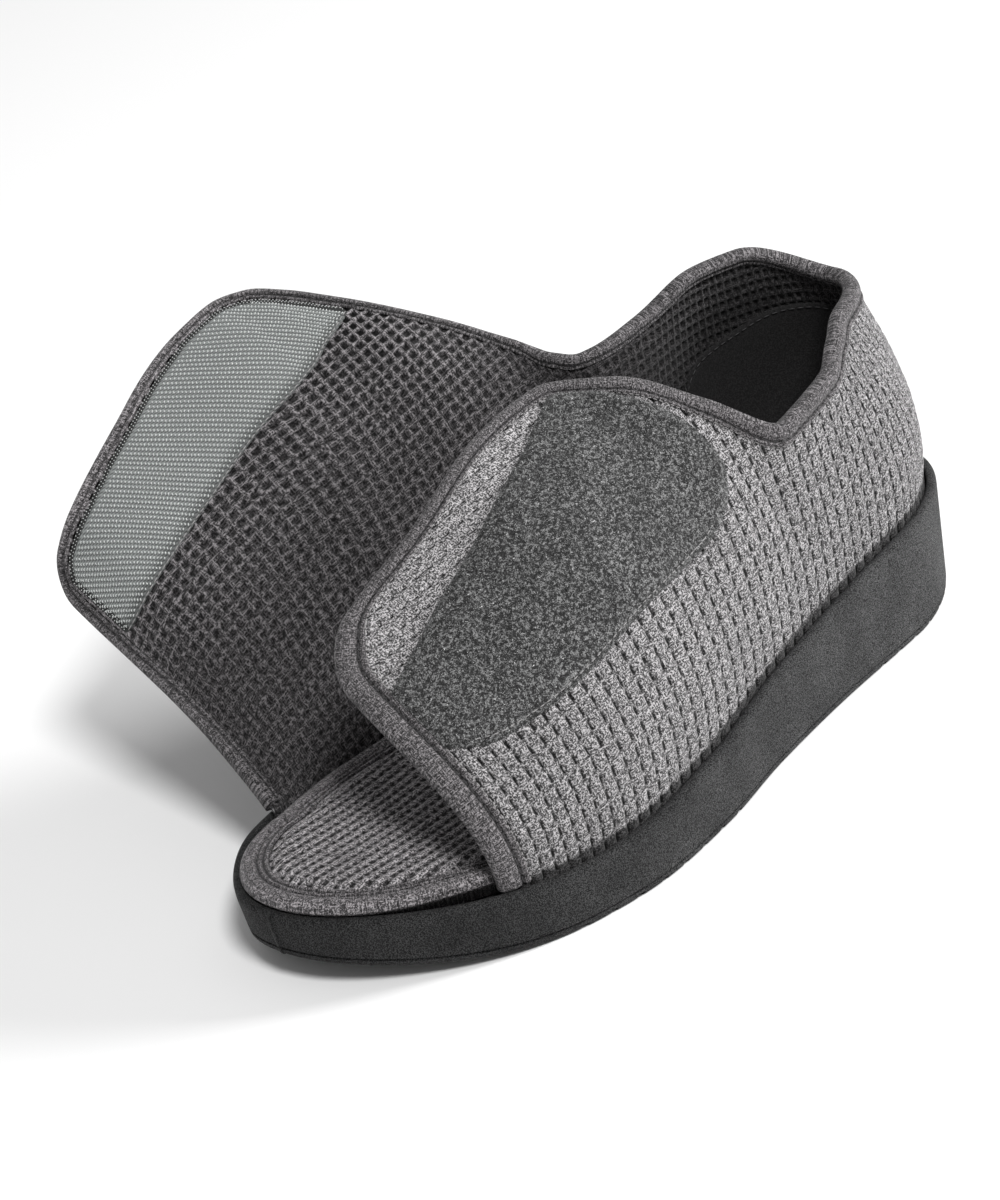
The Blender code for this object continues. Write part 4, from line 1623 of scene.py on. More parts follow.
@dataclass
class UpperCloth(Part):
    """The upper's two layers of knit: pillowed outside, pitted lining inside."""

    form: ClothForm
    slit_depth: float = 0.85 * MM
    pit_depth: float = 0.75 * MM
    border: float = 1.5 * MM
    back_inset: float = 0.1 * MM
    # The outer cloth's painted shade: a base darkening, the instep's top, painted light in the front band and
    # painted shade at the foot.
    cloth_dark: float = 0.12
    band_painted_light: float = -0.10
    instep_dark: float = 0.22
    foot_painted_shade: float = 0.85
    heel_reach: tuple[float, float] = (105 * MM, 155 * MM)
    lining_painted_shade: tuple[float, float, float] = (0.74, 0.62, 0.86)

    def pillow(self, u: Array, v: Array) -> Array:
        """Return how far the outer cloth's slits lie below its pillows.

        Args:
            u: Cells counted along the cloth.
            v: Cells counted up the cloth.

        Returns:
            How far the outer cloth's slits lie below its pillows.
        """
        p, q = OUTER_GRID.cell
        across = (u - np.round(u)) * p
        share = v - np.floor(v)
        tall = smoothstep(-0.02, 0.12, share) * (1 - smoothstep(0.55, 0.88, share))
        upright = np.exp(-((across / (0.62 * MM)) ** 2)) * (0.25 + 0.75 * tall)
        above = (v - np.round(v)) * q - 0.2 * MM
        left = smoothstep(0.2, 0.85, u - np.floor(u))
        line = np.interp(u, (1, 6, 10, 15, 21), (13.0, 14.5, 17.4, 20.4, 21.7))
        band = smoothstep(-1.0, 0.5, v - line) * (1 - smoothstep(19.0, 22.0, u))
        upright = upright * (1 - 0.8 * band)
        level = (0.15 + 0.5 * left + 0.35 * band) * np.exp(-((above / (0.5 * MM)) ** 2))
        dome = 0.25 * (0.5 + 0.5 * np.cos(2 * math.pi * (u - 0.02)))
        return self.slit_depth * (np.maximum(upright, level) * 0.8 + dome)

    def pit(self, u: Array, v: Array) -> Array:
        """Return how far the lining's pits lie below its ribs."""
        across, above = np.abs(u - np.round(u)), np.abs(v - np.round(v))
        return self.pit_depth * smoothstep(0.07, 0.32, across) * smoothstep(0.07, 0.32, above)

    def layer(
        self,
        name: str,
        face: Face,
        grid: KnitGrid,
        relief: Callable[[Array, Array], Array],
        shade: Callable[[Array, Array], Array],
        material: Material,
    ) -> Object:
        """Build one layer of the wall as a closed sheet.

        Args:
            name: The piece's name.
            face: The face that it forms.
            grid: How the knit's cells run.
            relief: How far the knit is sunk at a place, counted in cells.
            shade: The painted shade at a place.
            material: The layer's finish.

        Returns:
            The piece.
        """
        form = self.form
        columns, cells = grid.wales(form.total)
        up, rise = form.measured(columns)
        low, high = rise[:, 0], rise[:, -1]
        move = grid.climb(columns, form.total)
        tall = grid.cell[1]
        levels = repeats(tall, grid.levels, low.min() - move.max() - tall, high.max() - move.min() + tall)
        rows = levels[None, :] + move[:, None]

        def share_at(along: Array, level: Array) -> Array:
            """Return the share of the section's height at a length up the cloth.

            Args:
                along: Places along the base line.
                level: Lengths up the cloth.

            Returns:
                The share of the section's height at a length up the cloth.
            """
            number = np.searchsorted(columns, along - 1e-9)
            out = np.empty_like(level)
            order = np.argsort(number, kind="stable")
            bounds = np.searchsorted(number[order], np.arange(len(columns) + 1))
            for c in range(len(columns)):
                pick = order[bounds[c]:bounds[c + 1]]
                out[pick] = np.interp(level[pick], rise[c], up[c])
            return out

        outward = face.value * form.wall / 2

        def front(along: Array, level: Array) -> Array:
            """Return the knitted face's points.

            Args:
                along: Places along the base line.
                level: Lengths up the cloth.

            Returns:
                The knitted face's points.
            """
            number = np.searchsorted(columns, along - 1e-9)
            edge = np.minimum(level - low[number], high[number] - level)
            sunk = relief(cells[number], (level - move[number]) / tall) * np.clip(edge / self.border, 0, 1)
            return form.moved(along, share_at(along, level), outward - face.value * sunk)

        def back(along: Array, level: Array) -> Array:
            """Return the points of the layer's plain back."""
            return form.moved(along, share_at(along, level), face.value * self.back_inset)

        made = clamped_layer(columns, rows, low, high, front, back)
        uv = made.uv.copy()
        number = np.searchsorted(columns, uv[:, 0] - 1e-9)
        darkness = shade(uv[:, 0], share_at(uv[:, 0], uv[:, 1]))
        uv[:, 0] = cells[number] * grid.cell[0]
        uv[:, 1] -= move[number]
        return piece(name, made.points, made.faces, material, uv, darkness)

    def outer_painted_shade(self, along: Array, up: Array) -> Array:
        """Return the outer cloth's painted shade: deepest at its foot, painted lighter in the front band.

        Args:
            along: Places along the base line.
            up: Shares of the section's height.

        Returns:
            The outer cloth's painted shade: deepest at its foot, painted lighter in the front band.
        """
        plan = self.form.plan
        place = self.form.point(along, up)
        lift = place[:, 2] - plan.rim_height((place[:, 0] + plan.heel_centre) / plan.length)
        # Painted shade on the strip of cloth just above the sole's rim.
        foot = 1 - smoothstep(1.5 * MM, 2.7 * MM, lift)
        marks, edge = (np.array(column) for column in zip(*FRONT_BAND_EDGE))
        above = up - np.interp(along, marks * MM, edge)
        front = smoothstep(-0.04, 0.01, above) * (1 - smoothstep(88 * MM, 102 * MM, along))
        instep = smoothstep(30 * MM, 45 * MM, along) * (1 - smoothstep(120 * MM, 150 * MM, along))
        top = smoothstep(0.86, 0.93, up) * instep
        # The instep's top is darker, and the front band is painted lighter.
        rest = self.cloth_dark + self.instep_dark * top
        cloth = rest * (1 - front) + self.band_painted_light * front
        return cloth + (self.foot_painted_shade - cloth) * foot

    def build(self, outer: Material, lining: Material) -> None:
        """Build the outer cloth and the lining.

        Args:
            outer: The outer cloth's finish.
            lining: The lining's finish.
        """
        form = self.form
        cloth = self.layer("outer_knit", Face.OUTSIDE, OUTER_GRID, self.pillow, self.outer_painted_shade, outer)
        self.keep(cloth, "upper", "upper")
        heel = form.place(LATERAL, 0.0)

        def paint_lining_shade(along: Array, up: Array) -> Array:
            """Return the lining's painted shade: deepest round the heel and at its foot.

            Args:
                along: Places along the base line.
                up: Shares of the section's height.

            Returns:
                The lining's painted shade: deepest round the heel and at its foot.
            """
            near = 1 - smoothstep(*self.heel_reach, np.abs(along - heel))
            low = 1 - smoothstep(0.3, 0.95, up)
            round_heel, at_foot, most = self.lining_painted_shade
            return np.clip(round_heel * near + at_foot * low, 0, most)

        self.keep(self.layer("lining", Face.INSIDE, LINING_GRID, self.pit, paint_lining_shade, lining), "upper")


@dataclass
class EdgeBinding(Part):
    """The tape folded over the upper's free edge, with its stitch grooves."""

    form: ClothForm
    pitch: float = 0.9 * MM
    feet: tuple[float, float] = (0.1 * MM, 4.0 * MM)
    stitch_lines: tuple[float, float] = (5.3 * MM, 1.7 * MM)
    cord_line: float = 7.45 * MM
    thread_lift: float = 0.12 * MM
    narrowing: tuple[float, float] = (0.5, 0.2)
    # Painted shade on the tape, painted light that lifts it on the flap, and the most painted shade allowed.
    dark: float = 0.28
    flap_painted_light: float = 0.33
    darkest: float = 0.9
    outside: tuple[tuple[float, float], ...] = (
        (7.3, -0.15), (7.25, 0.4), (6.85, 0.72), (6.2, 0.72), (5.75, 0.4), (5.3, -0.1),
        (4.8, 0.45), (4.2, 0.9), (3.2, 1.25), (1.8, 1.4), (0.6, 1.35),
    )
    fold: tuple[tuple[float, float], ...] = (
        (-0.55, 2.35), (-1.15, 1.55), (-1.42, 0.55), (-1.42, -0.45), (-1.2, -1.35), (-0.65, -2.0),
    )
    inside: tuple[tuple[float, float], ...] = (
        (0.1, 0.95), (0.8, 0.95), (1.3, 0.75), (1.7, 0.15), (2.1, 0.5), (2.6, 0.5), (2.85, 0.3), (2.9, -0.2),
    )

    def line(self, distance: float, outward: float) -> tuple[Array, Array]:
        """Return the points and normals that lie on a face at a distance from the free edge.

        Args:
            distance: How far into the cloth from its free edge.
            outward: How far out from the wall's middle.

        Returns:
            The points and normals that lie on a face at a distance from the free edge.
        """
        narrow = np.ones(len(self.along))
        if outward > 0:
            narrow -= self.narrowing[0] * smoothstep(4 * MM, 22 * MM, self.along)
            narrow += self.narrowing[1] * smoothstep(100 * MM, 140 * MM, self.along)
        there = self.form.nearest(self.edge + self.into * (distance * narrow)[:, None], self.along, self.up)
        _, _, normal = self.form.slopes(*there)
        return self.form.moved(*there, outward), normal

    def lay_out(self) -> None:
        """Find the free edge and the directions into the cloth along it."""
        form = self.form
        self.along, self.up = form.free_edge(self.pitch, self.feet)
        _, _, self.normal = form.slopes(self.along, self.up)
        self.edge = form.point(self.along, self.up)
        ahead = unit(np.diff(self.edge, axis=0))
        run = unit(np.vstack([ahead[:1], ahead]) + np.vstack([ahead, ahead[-1:]]))
        self.into = unit(np.cross(run, self.normal))
        self.length = run_lengths(self.edge)

    def build(self, tape: Material, thread: Material, border: Material) -> None:
        """Build the tape, its stitches and the pale thread at its border.

        Args:
            tape: The tape's finish.
            thread: The stitches' finish.
            border: The finish of the thread at the tape's border.
        """
        self.lay_out()
        half = self.form.wall / 2
        sag = self.form.troughs(self.along, self.up)[:, None]
        rings, across = [], []
        for distance, height in self.outside:
            rings.append(self.line(distance * MM, half + height * MM)[0])
            across.append(distance * MM)
        for beyond, height in self.fold:
            rings.append(self.edge + self.into * beyond * MM + self.normal * (height * MM - sag))
            across.append(beyond * MM)
        for distance, height in self.inside:
            rings.append(self.line(distance * MM, -half - height * MM)[0])
            across.append(-distance * MM)
        rings.append(self.line(1.0 * MM, -half + 0.3 * MM)[0])
        rings.append(self.line(1.0 * MM, half - 0.3 * MM)[0])
        across += [0.0, 0.0]
        profile = np.stack(rings, axis=1)
        uv = np.stack(np.broadcast_arrays(self.length[:, None], np.array(across)[None, :]), axis=-1)
        flap = smoothstep(395 * MM, 430 * MM, self.along) - smoothstep(478 * MM, 488 * MM, self.along)
        groove = np.zeros(profile.shape[1])
        groove[[4, 5, 6]] = (0.3, 0.7, 0.3)
        hem = len(self.outside) + len(self.fold)
        groove[[hem + 2, hem + 3, hem + 4]] = (0.3, 0.6, 0.2)
        # The tape is darkened overall, painted lighter on the flap and given painted shade in its stitch
        # grooves.
        shade = np.minimum((self.dark - self.flap_painted_light * flap)[:, None] + groove[None], self.darkest)
        band = swept("binding_tape", profile, tape, uv, closed=False, shade=shade)
        self.keep(band, "edge_tape", "edge_tape")
        rows = []
        for face, distance in ((1, self.stitch_lines[0]), (-1, self.stitch_lines[1])):
            line, normal = self.line(distance, face * (half + self.thread_lift))
            rows.append((line, normal * face))
        self.sew(Seam("binding_stitches", 2.9 * MM, Stitches(), "edge_tape"), thread, *rows)
        stitch = Stitches(length=1.5 * MM, width=0.34 * MM, height=0.34 * MM)
        cord = Seam("binding_cord", 1.7 * MM, stitch, "edge_tape")
        self.sew(cord, border, self.line(self.cord_line, half + self.thread_lift))


@dataclass
class SurfacePatch(Part):
    """A thin patch on one face of the cloth, between two lines of its table."""

    form: ClothForm
    side: Side
    face: Face
    rows: tuple[PatchRow, ...]
    clear: float = 8.4 * MM
    columns: int = 90
    across: int = 34
    crowd: float = 1.0

    def highest(self, along: Array) -> Array:
        """Return how high up a section reaches before it meets the edge tape.

        Args:
            along: Places along the base line.

        Returns:
            How high up a section reaches before it meets the edge tape.
        """
        edge = self.form.point(*self.form.free_edge(1.5 * MM, (1.0 * MM, 4.0 * MM)))
        heights = np.linspace(0.3, 1.0, 141)
        highest = []
        for place in along:
            line = self.form.point(np.full(141, place), heights)
            away = np.linalg.norm(line[:, None] - edge[None], axis=2).min(axis=1)
            free = heights[away > self.clear]
            highest.append(free.max() if len(free) else heights[away.argmax()])
        return np.array(highest)

    def lay_out(self) -> None:
        """Find the patch's grid of places and heights."""
        places = np.array([self.form.place(self.side, row.station) for row in self.rows])
        order = np.argsort(places)
        low = smooth_line(places[order], np.array([row.low for row in self.rows])[order])
        high = smooth_line(places[order], np.array([row.high for row in self.rows])[order])
        middle, half = (places.min() + places.max()) / 2, np.ptp(places) / 2
        self.along = middle - half * np.cos(np.linspace(0, math.pi, self.columns))
        above = np.minimum(high(self.along), self.highest(self.along))
        kernel = np.array([0.25, 0.5, 0.25])
        above[1:-1] = np.convolve(above, kernel, mode="valid")
        below = np.minimum(low(self.along), above - 0.02)
        self.share = 1 - (1 - np.linspace(0, 1, self.across)) ** self.crowd
        self.heights = below[:, None] + (above - below)[:, None] * self.share[None]
        self.places = np.repeat(self.along[:, None], self.across, axis=1)
        self.rise = run_lengths(self.form.point(self.places, self.heights))
        self.base_rise = self.heights[:, :1] * self.form.pull(self.along)[:, None]

    def edge_distance(self, edge: Edge = Edge.ALL) -> Array:
        """Return each grid point's distance to a part of the patch's border.

        Args:
            edge: The part of the border.

        Returns:
            Each grid point's distance to a part of the patch's border.
        """
        line = self.form.point(self.places, self.heights)
        sides = [line[:, -1], line[0], line[-1]] + ([line[:, 0]] if edge is Edge.ALL else [])
        border = np.concatenate(sides)
        flat = line.reshape(-1, 3)
        away = np.empty(len(flat))
        for start in range(0, len(flat), 400):
            part = flat[start:start + 400]
            away[start:start + 400] = np.linalg.norm(part[:, None] - border[None], axis=2).min(axis=1)
        return away.reshape(self.places.shape)

    def cloth_uv(self) -> Array:
        """Return the sheet's coordinates along and up the cloth."""
        return np.stack([self.places, self.rise + self.base_rise], axis=-1).reshape(-1, 2)

    def sheet(
        self,
        name: str,
        height: Array,
        material: Material,
        shade: Optional[Array] = None,
    ) -> Object:
        """Build the patch as a closed sheet of a height above the cloth.

        Args:
            name: The piece's name.
            height: How far each grid point stands above the cloth.
            material: The piece's finish.
            shade: The painted shade at each grid point.

        Returns:
            The piece.
        """
        face, form = self.face.value, self.form
        top = form.moved(self.places, self.heights, face * (form.wall / 2 + height))
        under = form.moved(self.places, self.heights, face * (form.wall / 2 - 0.3 * MM))
        uv = self.cloth_uv()
        points = np.concatenate([top.reshape(-1, 3), under.reshape(-1, 3)])
        dark = np.zeros(self.places.size) if shade is None else shade.ravel()
        faces = sheet_faces(*self.places.shape)
        return piece(name, points, faces, material, np.concatenate([uv, uv]), np.concatenate([dark, dark]))

    def rim(self, inset: float, lift: float, edge: Edge) -> tuple[Array, Array]:
        """Return a line inside the patch's border and its outward directions.

        Args:
            inset: How far inside the border the line lies.
            lift: How far above the cloth it lies.
            edge: The part of the border that it follows.

        Returns:
            The line's points and the outward direction at each.
        """
        width = self.rise[:, -1:]
        near = np.clip(inset / np.maximum(width, 2.2 * inset), 0, 0.49)[:, 0]
        low = self.heights[:, 0] + (self.heights[:, -1] - self.heights[:, 0]) * near
        high = self.heights[:, -1] - (self.heights[:, -1] - self.heights[:, 0]) * near
        trim = inset / np.ptp(self.along)
        along = self.along[0] + (self.along - self.along[0]) * (1 - 2 * trim) + inset
        places, heights = along, low
        if edge is Edge.HIGH:
            places = np.concatenate([along[:1], along, along[-1:]])
            heights = np.concatenate([low[:1], high, low[-1:]])
        _, _, normal = self.form.slopes(places, heights)
        face = self.face.value
        return self.form.moved(places, heights, face * (self.form.wall / 2 + lift)), normal * face


@dataclass
class LoopPatch(SurfacePatch):
    """The dark pile patch on the outer quarter."""

    clear: float = 3.4 * MM
    ground: float = 0.15 * MM
    pile: float = 0.75 * MM
    sunk: float = 0.25 * MM
    seam_inset: float = 1.6 * MM
    raised: float = 0.72 * MM

    def build(self, ground: Material, fibre: Material, thread: Material) -> None:
        """Build the patch's ground, its fibres and its seam.

        Args:
            ground: The ground's finish.
            fibre: The fibres' finish.
            thread: The stitches' finish.
        """
        self.lay_out()
        away = self.edge_distance()
        height = self.ground + self.pile * smoothstep(0.0, 2.2 * MM, away)
        groove = np.exp(-(((away - self.seam_inset) / (0.5 * MM)) ** 2))
        height = height - self.sunk * groove
        over = self.edge_distance(Edge.HIGH)
        height = height + self.raised * (1 - smoothstep(1.5 * MM, 5.0 * MM, over))
        ground_piece = self.keep(self.sheet("pile_ground", height, ground), "loop_patch", "loop_patch")
        fibres = Fibres(length=1.05 * MM, radius=0.11 * MM, density=6.0e5, lean=1.25, seed=11)
        self.keep(fibres.scatter("pile_fibres", ground_piece, fibre), "loop_patch")
        stitch = Stitches(length=2.0 * MM, width=0.32 * MM, height=0.3 * MM)
        seam = Seam("pile_stitches", 2.4 * MM, stitch, "loop_patch")
        self.sew(seam, thread, self.rim(1.5 * MM, 0.6 * MM, Edge.LOW))


@dataclass
class HookStrip(SurfacePatch):
    """The hook strip inside the flap's end."""

    clear: float = 3.1 * MM
    row: float = 1.7 * MM
    step: float = 0.78 * MM
    lean: float = 0.66
    margins: tuple[float, float] = (1.0 * MM, 3.0 * MM)
    selvedge: float = 2.2 * MM
    selvedge_rows: tuple[float, float] = (0.6 * MM, 1.45 * MM)
    ground: tuple[float, float] = (0.1 * MM, 0.4 * MM)
    hook_lift: float = 0.42 * MM
    end_margin: float = 0.8 * MM
    across: int = 48
    crowd: float = 1.6

    def cloth_uv(self) -> Array:
        """Return the sheet's coordinates across and along the rows of hooks.

        Returns:
            The sheet's coordinates across and along the rows of hooks.
        """
        up = self.rise + self.base_rise
        start = self.along[0] - self.lean * self.rise.max()
        across = self.places - self.lean * (up - self.base_rise.min()) - start
        return np.stack([across, up], axis=-1).reshape(-1, 2)

    def hook_spots(self) -> SurfaceSpots:
        """Return the places of the hooks, in slanting rows across the strip.

        Returns:
            The places of the hooks, in slanting rows across the strip.
        """
        form = self.form
        points, runs, outs = [], [], []
        start = self.along[0] - self.lean * self.rise.max()
        for number, foot in enumerate(np.arange(start, self.along[-1], self.row)):
            wave = (number % 3 != 0) * 0.35 * MM
            reach = np.linspace(0, 80 * MM, 400)
            place = foot + self.lean * reach
            ends = (self.along[0] + self.end_margin, self.along[-1] - self.end_margin)
            inside = (place > ends[0]) & (place < ends[1])
            place, reach = place[inside], reach[inside]
            if len(place) < 3:
                continue
            low = np.interp(place, self.along, self.heights[:, 0])
            high = np.interp(place, self.along, self.heights[:, -1])
            length = np.interp(place, self.along, self.rise[:, -1])
            lowest = np.interp(place, self.along, self.base_rise[:, 0]) - self.base_rise.min()
            climb = reach - lowest
            inside = (climb > self.margins[0]) & (climb < length - self.margins[1])
            if inside.sum() < 3:
                continue
            even = np.arange(reach[inside][0] + wave, reach[inside][-1], self.step)
            along = np.interp(even, reach, place)
            up = np.interp(even, reach, low + (high - low) * climb / length)
            side, rise, normal = form.slopes(along, up)
            run = np.cross(normal, side * self.lean + unit(rise))
            points.append(form.moved(along, up, self.face.value * (form.wall / 2 + self.hook_lift)))
            runs.append(unit(run))
            outs.append(normal * self.face.value)
        return SurfaceSpots(np.concatenate(points), np.concatenate(runs), np.concatenate(outs))

    def build(self, ground: Material, hook: Material, thread: Material) -> None:
        """Build the strip's ground, its hooks and its stitches.

        Args:
            ground: The ground's finish.
            hook: The hooks' finish.
            thread: The stitches' finish.
        """
        self.lay_out()
        thin, thick = self.ground
        height = thin + thick * smoothstep(0.0, 1.0 * MM, self.edge_distance())
        inside = self.edge_distance(Edge.HIGH)
        height = height - 0.2 * MM * (1 - smoothstep(self.selvedge - 0.5 * MM, self.selvedge, inside))
        # A dark band along the high edge, and painted shade towards the low edge.
        dark = 0.93 * (1 - smoothstep(self.selvedge - 0.35 * MM, self.selvedge + 0.1 * MM, inside))
        dark = np.maximum(dark, 0.6 * (1 - smoothstep(0.5 * MM, 5.0 * MM, self.rise)))
        self.keep(self.sheet("hook_ground", height, ground, dark), "hook_strip", "hook_strip")
        self.keep(Hooks().plant("hooks", self.hook_spots(), hook), "hook_strip")
        stitch = Stitches(length=0.38 * MM, width=0.34 * MM, height=0.36 * MM)
        rows = [self.rim(inset, 0.38 * MM, Edge.HIGH) for inset in self.selvedge_rows]
        self.sew(Seam("hook_selvedge", 1.1 * MM, stitch, "hook_strip"), hook, *rows)
        stitch = Stitches(length=2.0 * MM, width=0.36 * MM, height=0.34 * MM)
        seam = Seam("hook_seam", 2.2 * MM, stitch, "hook_strip")
        self.sew(seam, thread, self.rim(0.3 * MM, 0.35 * MM, Edge.LOW))


@dataclass
class Sole(Part):
    """The moulded sole, its tread and its mould seam, drawn as a painted shadow line beside a rubber lip."""

    plan: SolePlan
    count: int = 161
    rim_wall: float = 3.0 * MM
    recess: float = 4.0 * MM
    draft: float = 1.0 * MM
    rim_bend: float = 1.5 * MM
    sharp: float = 40.0
    seam_radius: float = 0.34 * MM
    lip_shift: float = -0.55 * MM
    ledge: float = 2.6 * MM
    ledge_step: float = 0.6 * MM
    groove_width: float = 2.4 * MM
    groove_depth: float = 1.4 * MM
    groove_pitch: float = 9.0 * MM
    tread_zones: tuple[tuple[float, float], ...] = ((0.05, 0.27), (0.56, 0.80))

    def wall_levels(self) -> list[tuple[float, str, float]]:
        """Return the wall from the tread up: inset, what it is measured from, and height.

        Returns:
            The wall from the tread up: inset, what it is measured from, and height.
        """
        draft, step, ledge = self.draft, self.ledge_step, self.ledge
        wall, bend = self.rim_wall, self.rim_bend
        rim = [(bend * (1 - math.cos(a)), bend * (math.sin(a) - 1)) for a in np.linspace(0.0, math.pi / 2, 7)]
        levels = [
            (draft + 2.4 * MM, "floor", 0.0),
            (draft + 1.4 * MM, "floor", 0.1 * MM),
            (draft + 0.7 * MM, "floor", 0.45 * MM),
            (draft + 0.3 * MM, "floor", 1.0 * MM),
            (draft + 0.15 * MM, "floor", ledge - 0.55 * MM),
            (draft + step, "floor", ledge - 0.3 * MM),
            (draft + step, "floor", ledge),
            (draft, "floor", ledge + 0.25 * MM),
            (0.0, "rim", -3.2 * MM),
        ]
        levels += [(inset, "rim", drop) for inset, drop in rim]
        levels += [
            (wall - 0.8 * MM, "rim", -0.05 * MM),
            (wall - 0.35 * MM, "rim", -0.25 * MM),
            (wall - 0.05 * MM, "rim", -0.7 * MM),
            (wall, "rim", -1.2 * MM),
            (wall, "rim", -self.recess),
        ]
        return levels

    def rings(self) -> Array:
        """Return the wall's rings of points, from the tread to the recess.

        Returns:
            The wall's rings of points, from the tread to the recess.
        """
        rings = []
        for inset, base, up in self.wall_levels():
            points, stations, _ = self.plan.ring(np.array(inset), self.count)
            level = self.plan.tread_height if base == "floor" else self.plan.rim_height
            rings.append(np.column_stack([points, level(stations) + up]))
        return np.stack(rings)

    def build(self, rubber: Material, line: Material) -> None:
        """Build the sole with its tread grooves and its mould seam's painted shadow line.

        Args:
            rubber: The rubber's finish.
            line: The finish of the mould seam's painted shadow line.
        """
        rings = self.rings()
        levels, around = rings.shape[:2]
        faces = grid_faces(levels, around, closed=True)
        for first in (0, (levels - 1) * around):
            for k in range(around // 2):
                four = [k, k + 1, (around - k - 1) % around, (around - k) % around]
                faces.append([first + i for i in dict.fromkeys(four)])
        sole = piece("moulded_sole", rings.reshape(-1, 3), faces, rubber, sharp=self.sharp)
        cutter = self.tread_cutter()
        cut = sole.modifiers.new("tread", "BOOLEAN")
        cut.operation = "DIFFERENCE"
        cut.object = cutter
        mesh = evaluated_mesh(sole, cut)
        sole.data = mesh
        mesh.shade_smooth()
        mesh.set_sharp_from_angle(angle=math.radians(self.sharp))
        bpy.data.objects.remove(cutter)
        self.keep(sole, "sole", "sole")
        # A near-black tube painted as the mould seam's shadow, and a rubber lip beside it.
        self.keep(self.toe_seam("toe_seam", rings, 0.0, line), "sole")
        self.keep(self.toe_seam("toe_seam_lip", rings, self.lip_shift, rubber), "sole")

    def toe_seam(self, name: str, rings: Array, shift: float, material: Material) -> Object:
        """Return a thin line beside which the mould's halves met at the toe.

        Args:
            name: The piece's name.
            rings: The wall's rings.
            shift: How far the line lies to one side.
            material: The piece's finish.

        Returns:
            A thin line beside which the mould's halves met at the toe.
        """
        column = self.count - 1
        line = rings[1:-5, column]
        side = unit(rings[1:-5, column + 1] - rings[1:-5, column - 1])
        out = unit(np.cross(side, np.gradient(line, axis=0)))
        turn = np.linspace(0, 2 * math.pi, 7)[:-1]
        line = line + side * shift
        ring = side[:, None] * np.cos(turn)[None, :, None] + out[:, None] * np.sin(turn)[None, :, None]
        points = line[:, None] + ring * self.seam_radius
        return swept(name, points, material, np.zeros(points.shape[:2] + (2,)), closed=False)

    def tread_cutter(self) -> Object:
        """Return bars across the sole, as deep as the tread's grooves.

        Returns:
            Bars across the sole, as deep as the tread's grooves.
        """
        points, faces = [], []
        for start, end in self.tread_zones:
            count = int((end - start) * self.plan.length // self.groove_pitch)
            for k in range(count + 1):
                middle = start * self.plan.length + k * self.groove_pitch - self.plan.heel_centre
                station = (middle + self.plan.heel_centre) / self.plan.length
                floor = float(self.plan.tread_height(np.array(station)))
                first = len(points)
                points += [
                    (middle + dx, dy, floor + dz)
                    for dx in (-self.groove_width / 2, self.groove_width / 2)
                    for dy in (-self.plan.ball_width, self.plan.ball_width)
                    for dz in (-self.groove_depth, self.groove_depth)
                ]
                box = ((0, 1, 3, 2), (4, 6, 7, 5), (0, 4, 5, 1), (2, 3, 7, 6), (0, 2, 6, 4), (1, 5, 7, 3))
                faces += [[first + i for i in face] for face in box]
        mesh = bpy.data.meshes.new("tread_cutter")
        mesh.from_pydata(points, [], faces)
        return linked("tread_cutter", mesh)


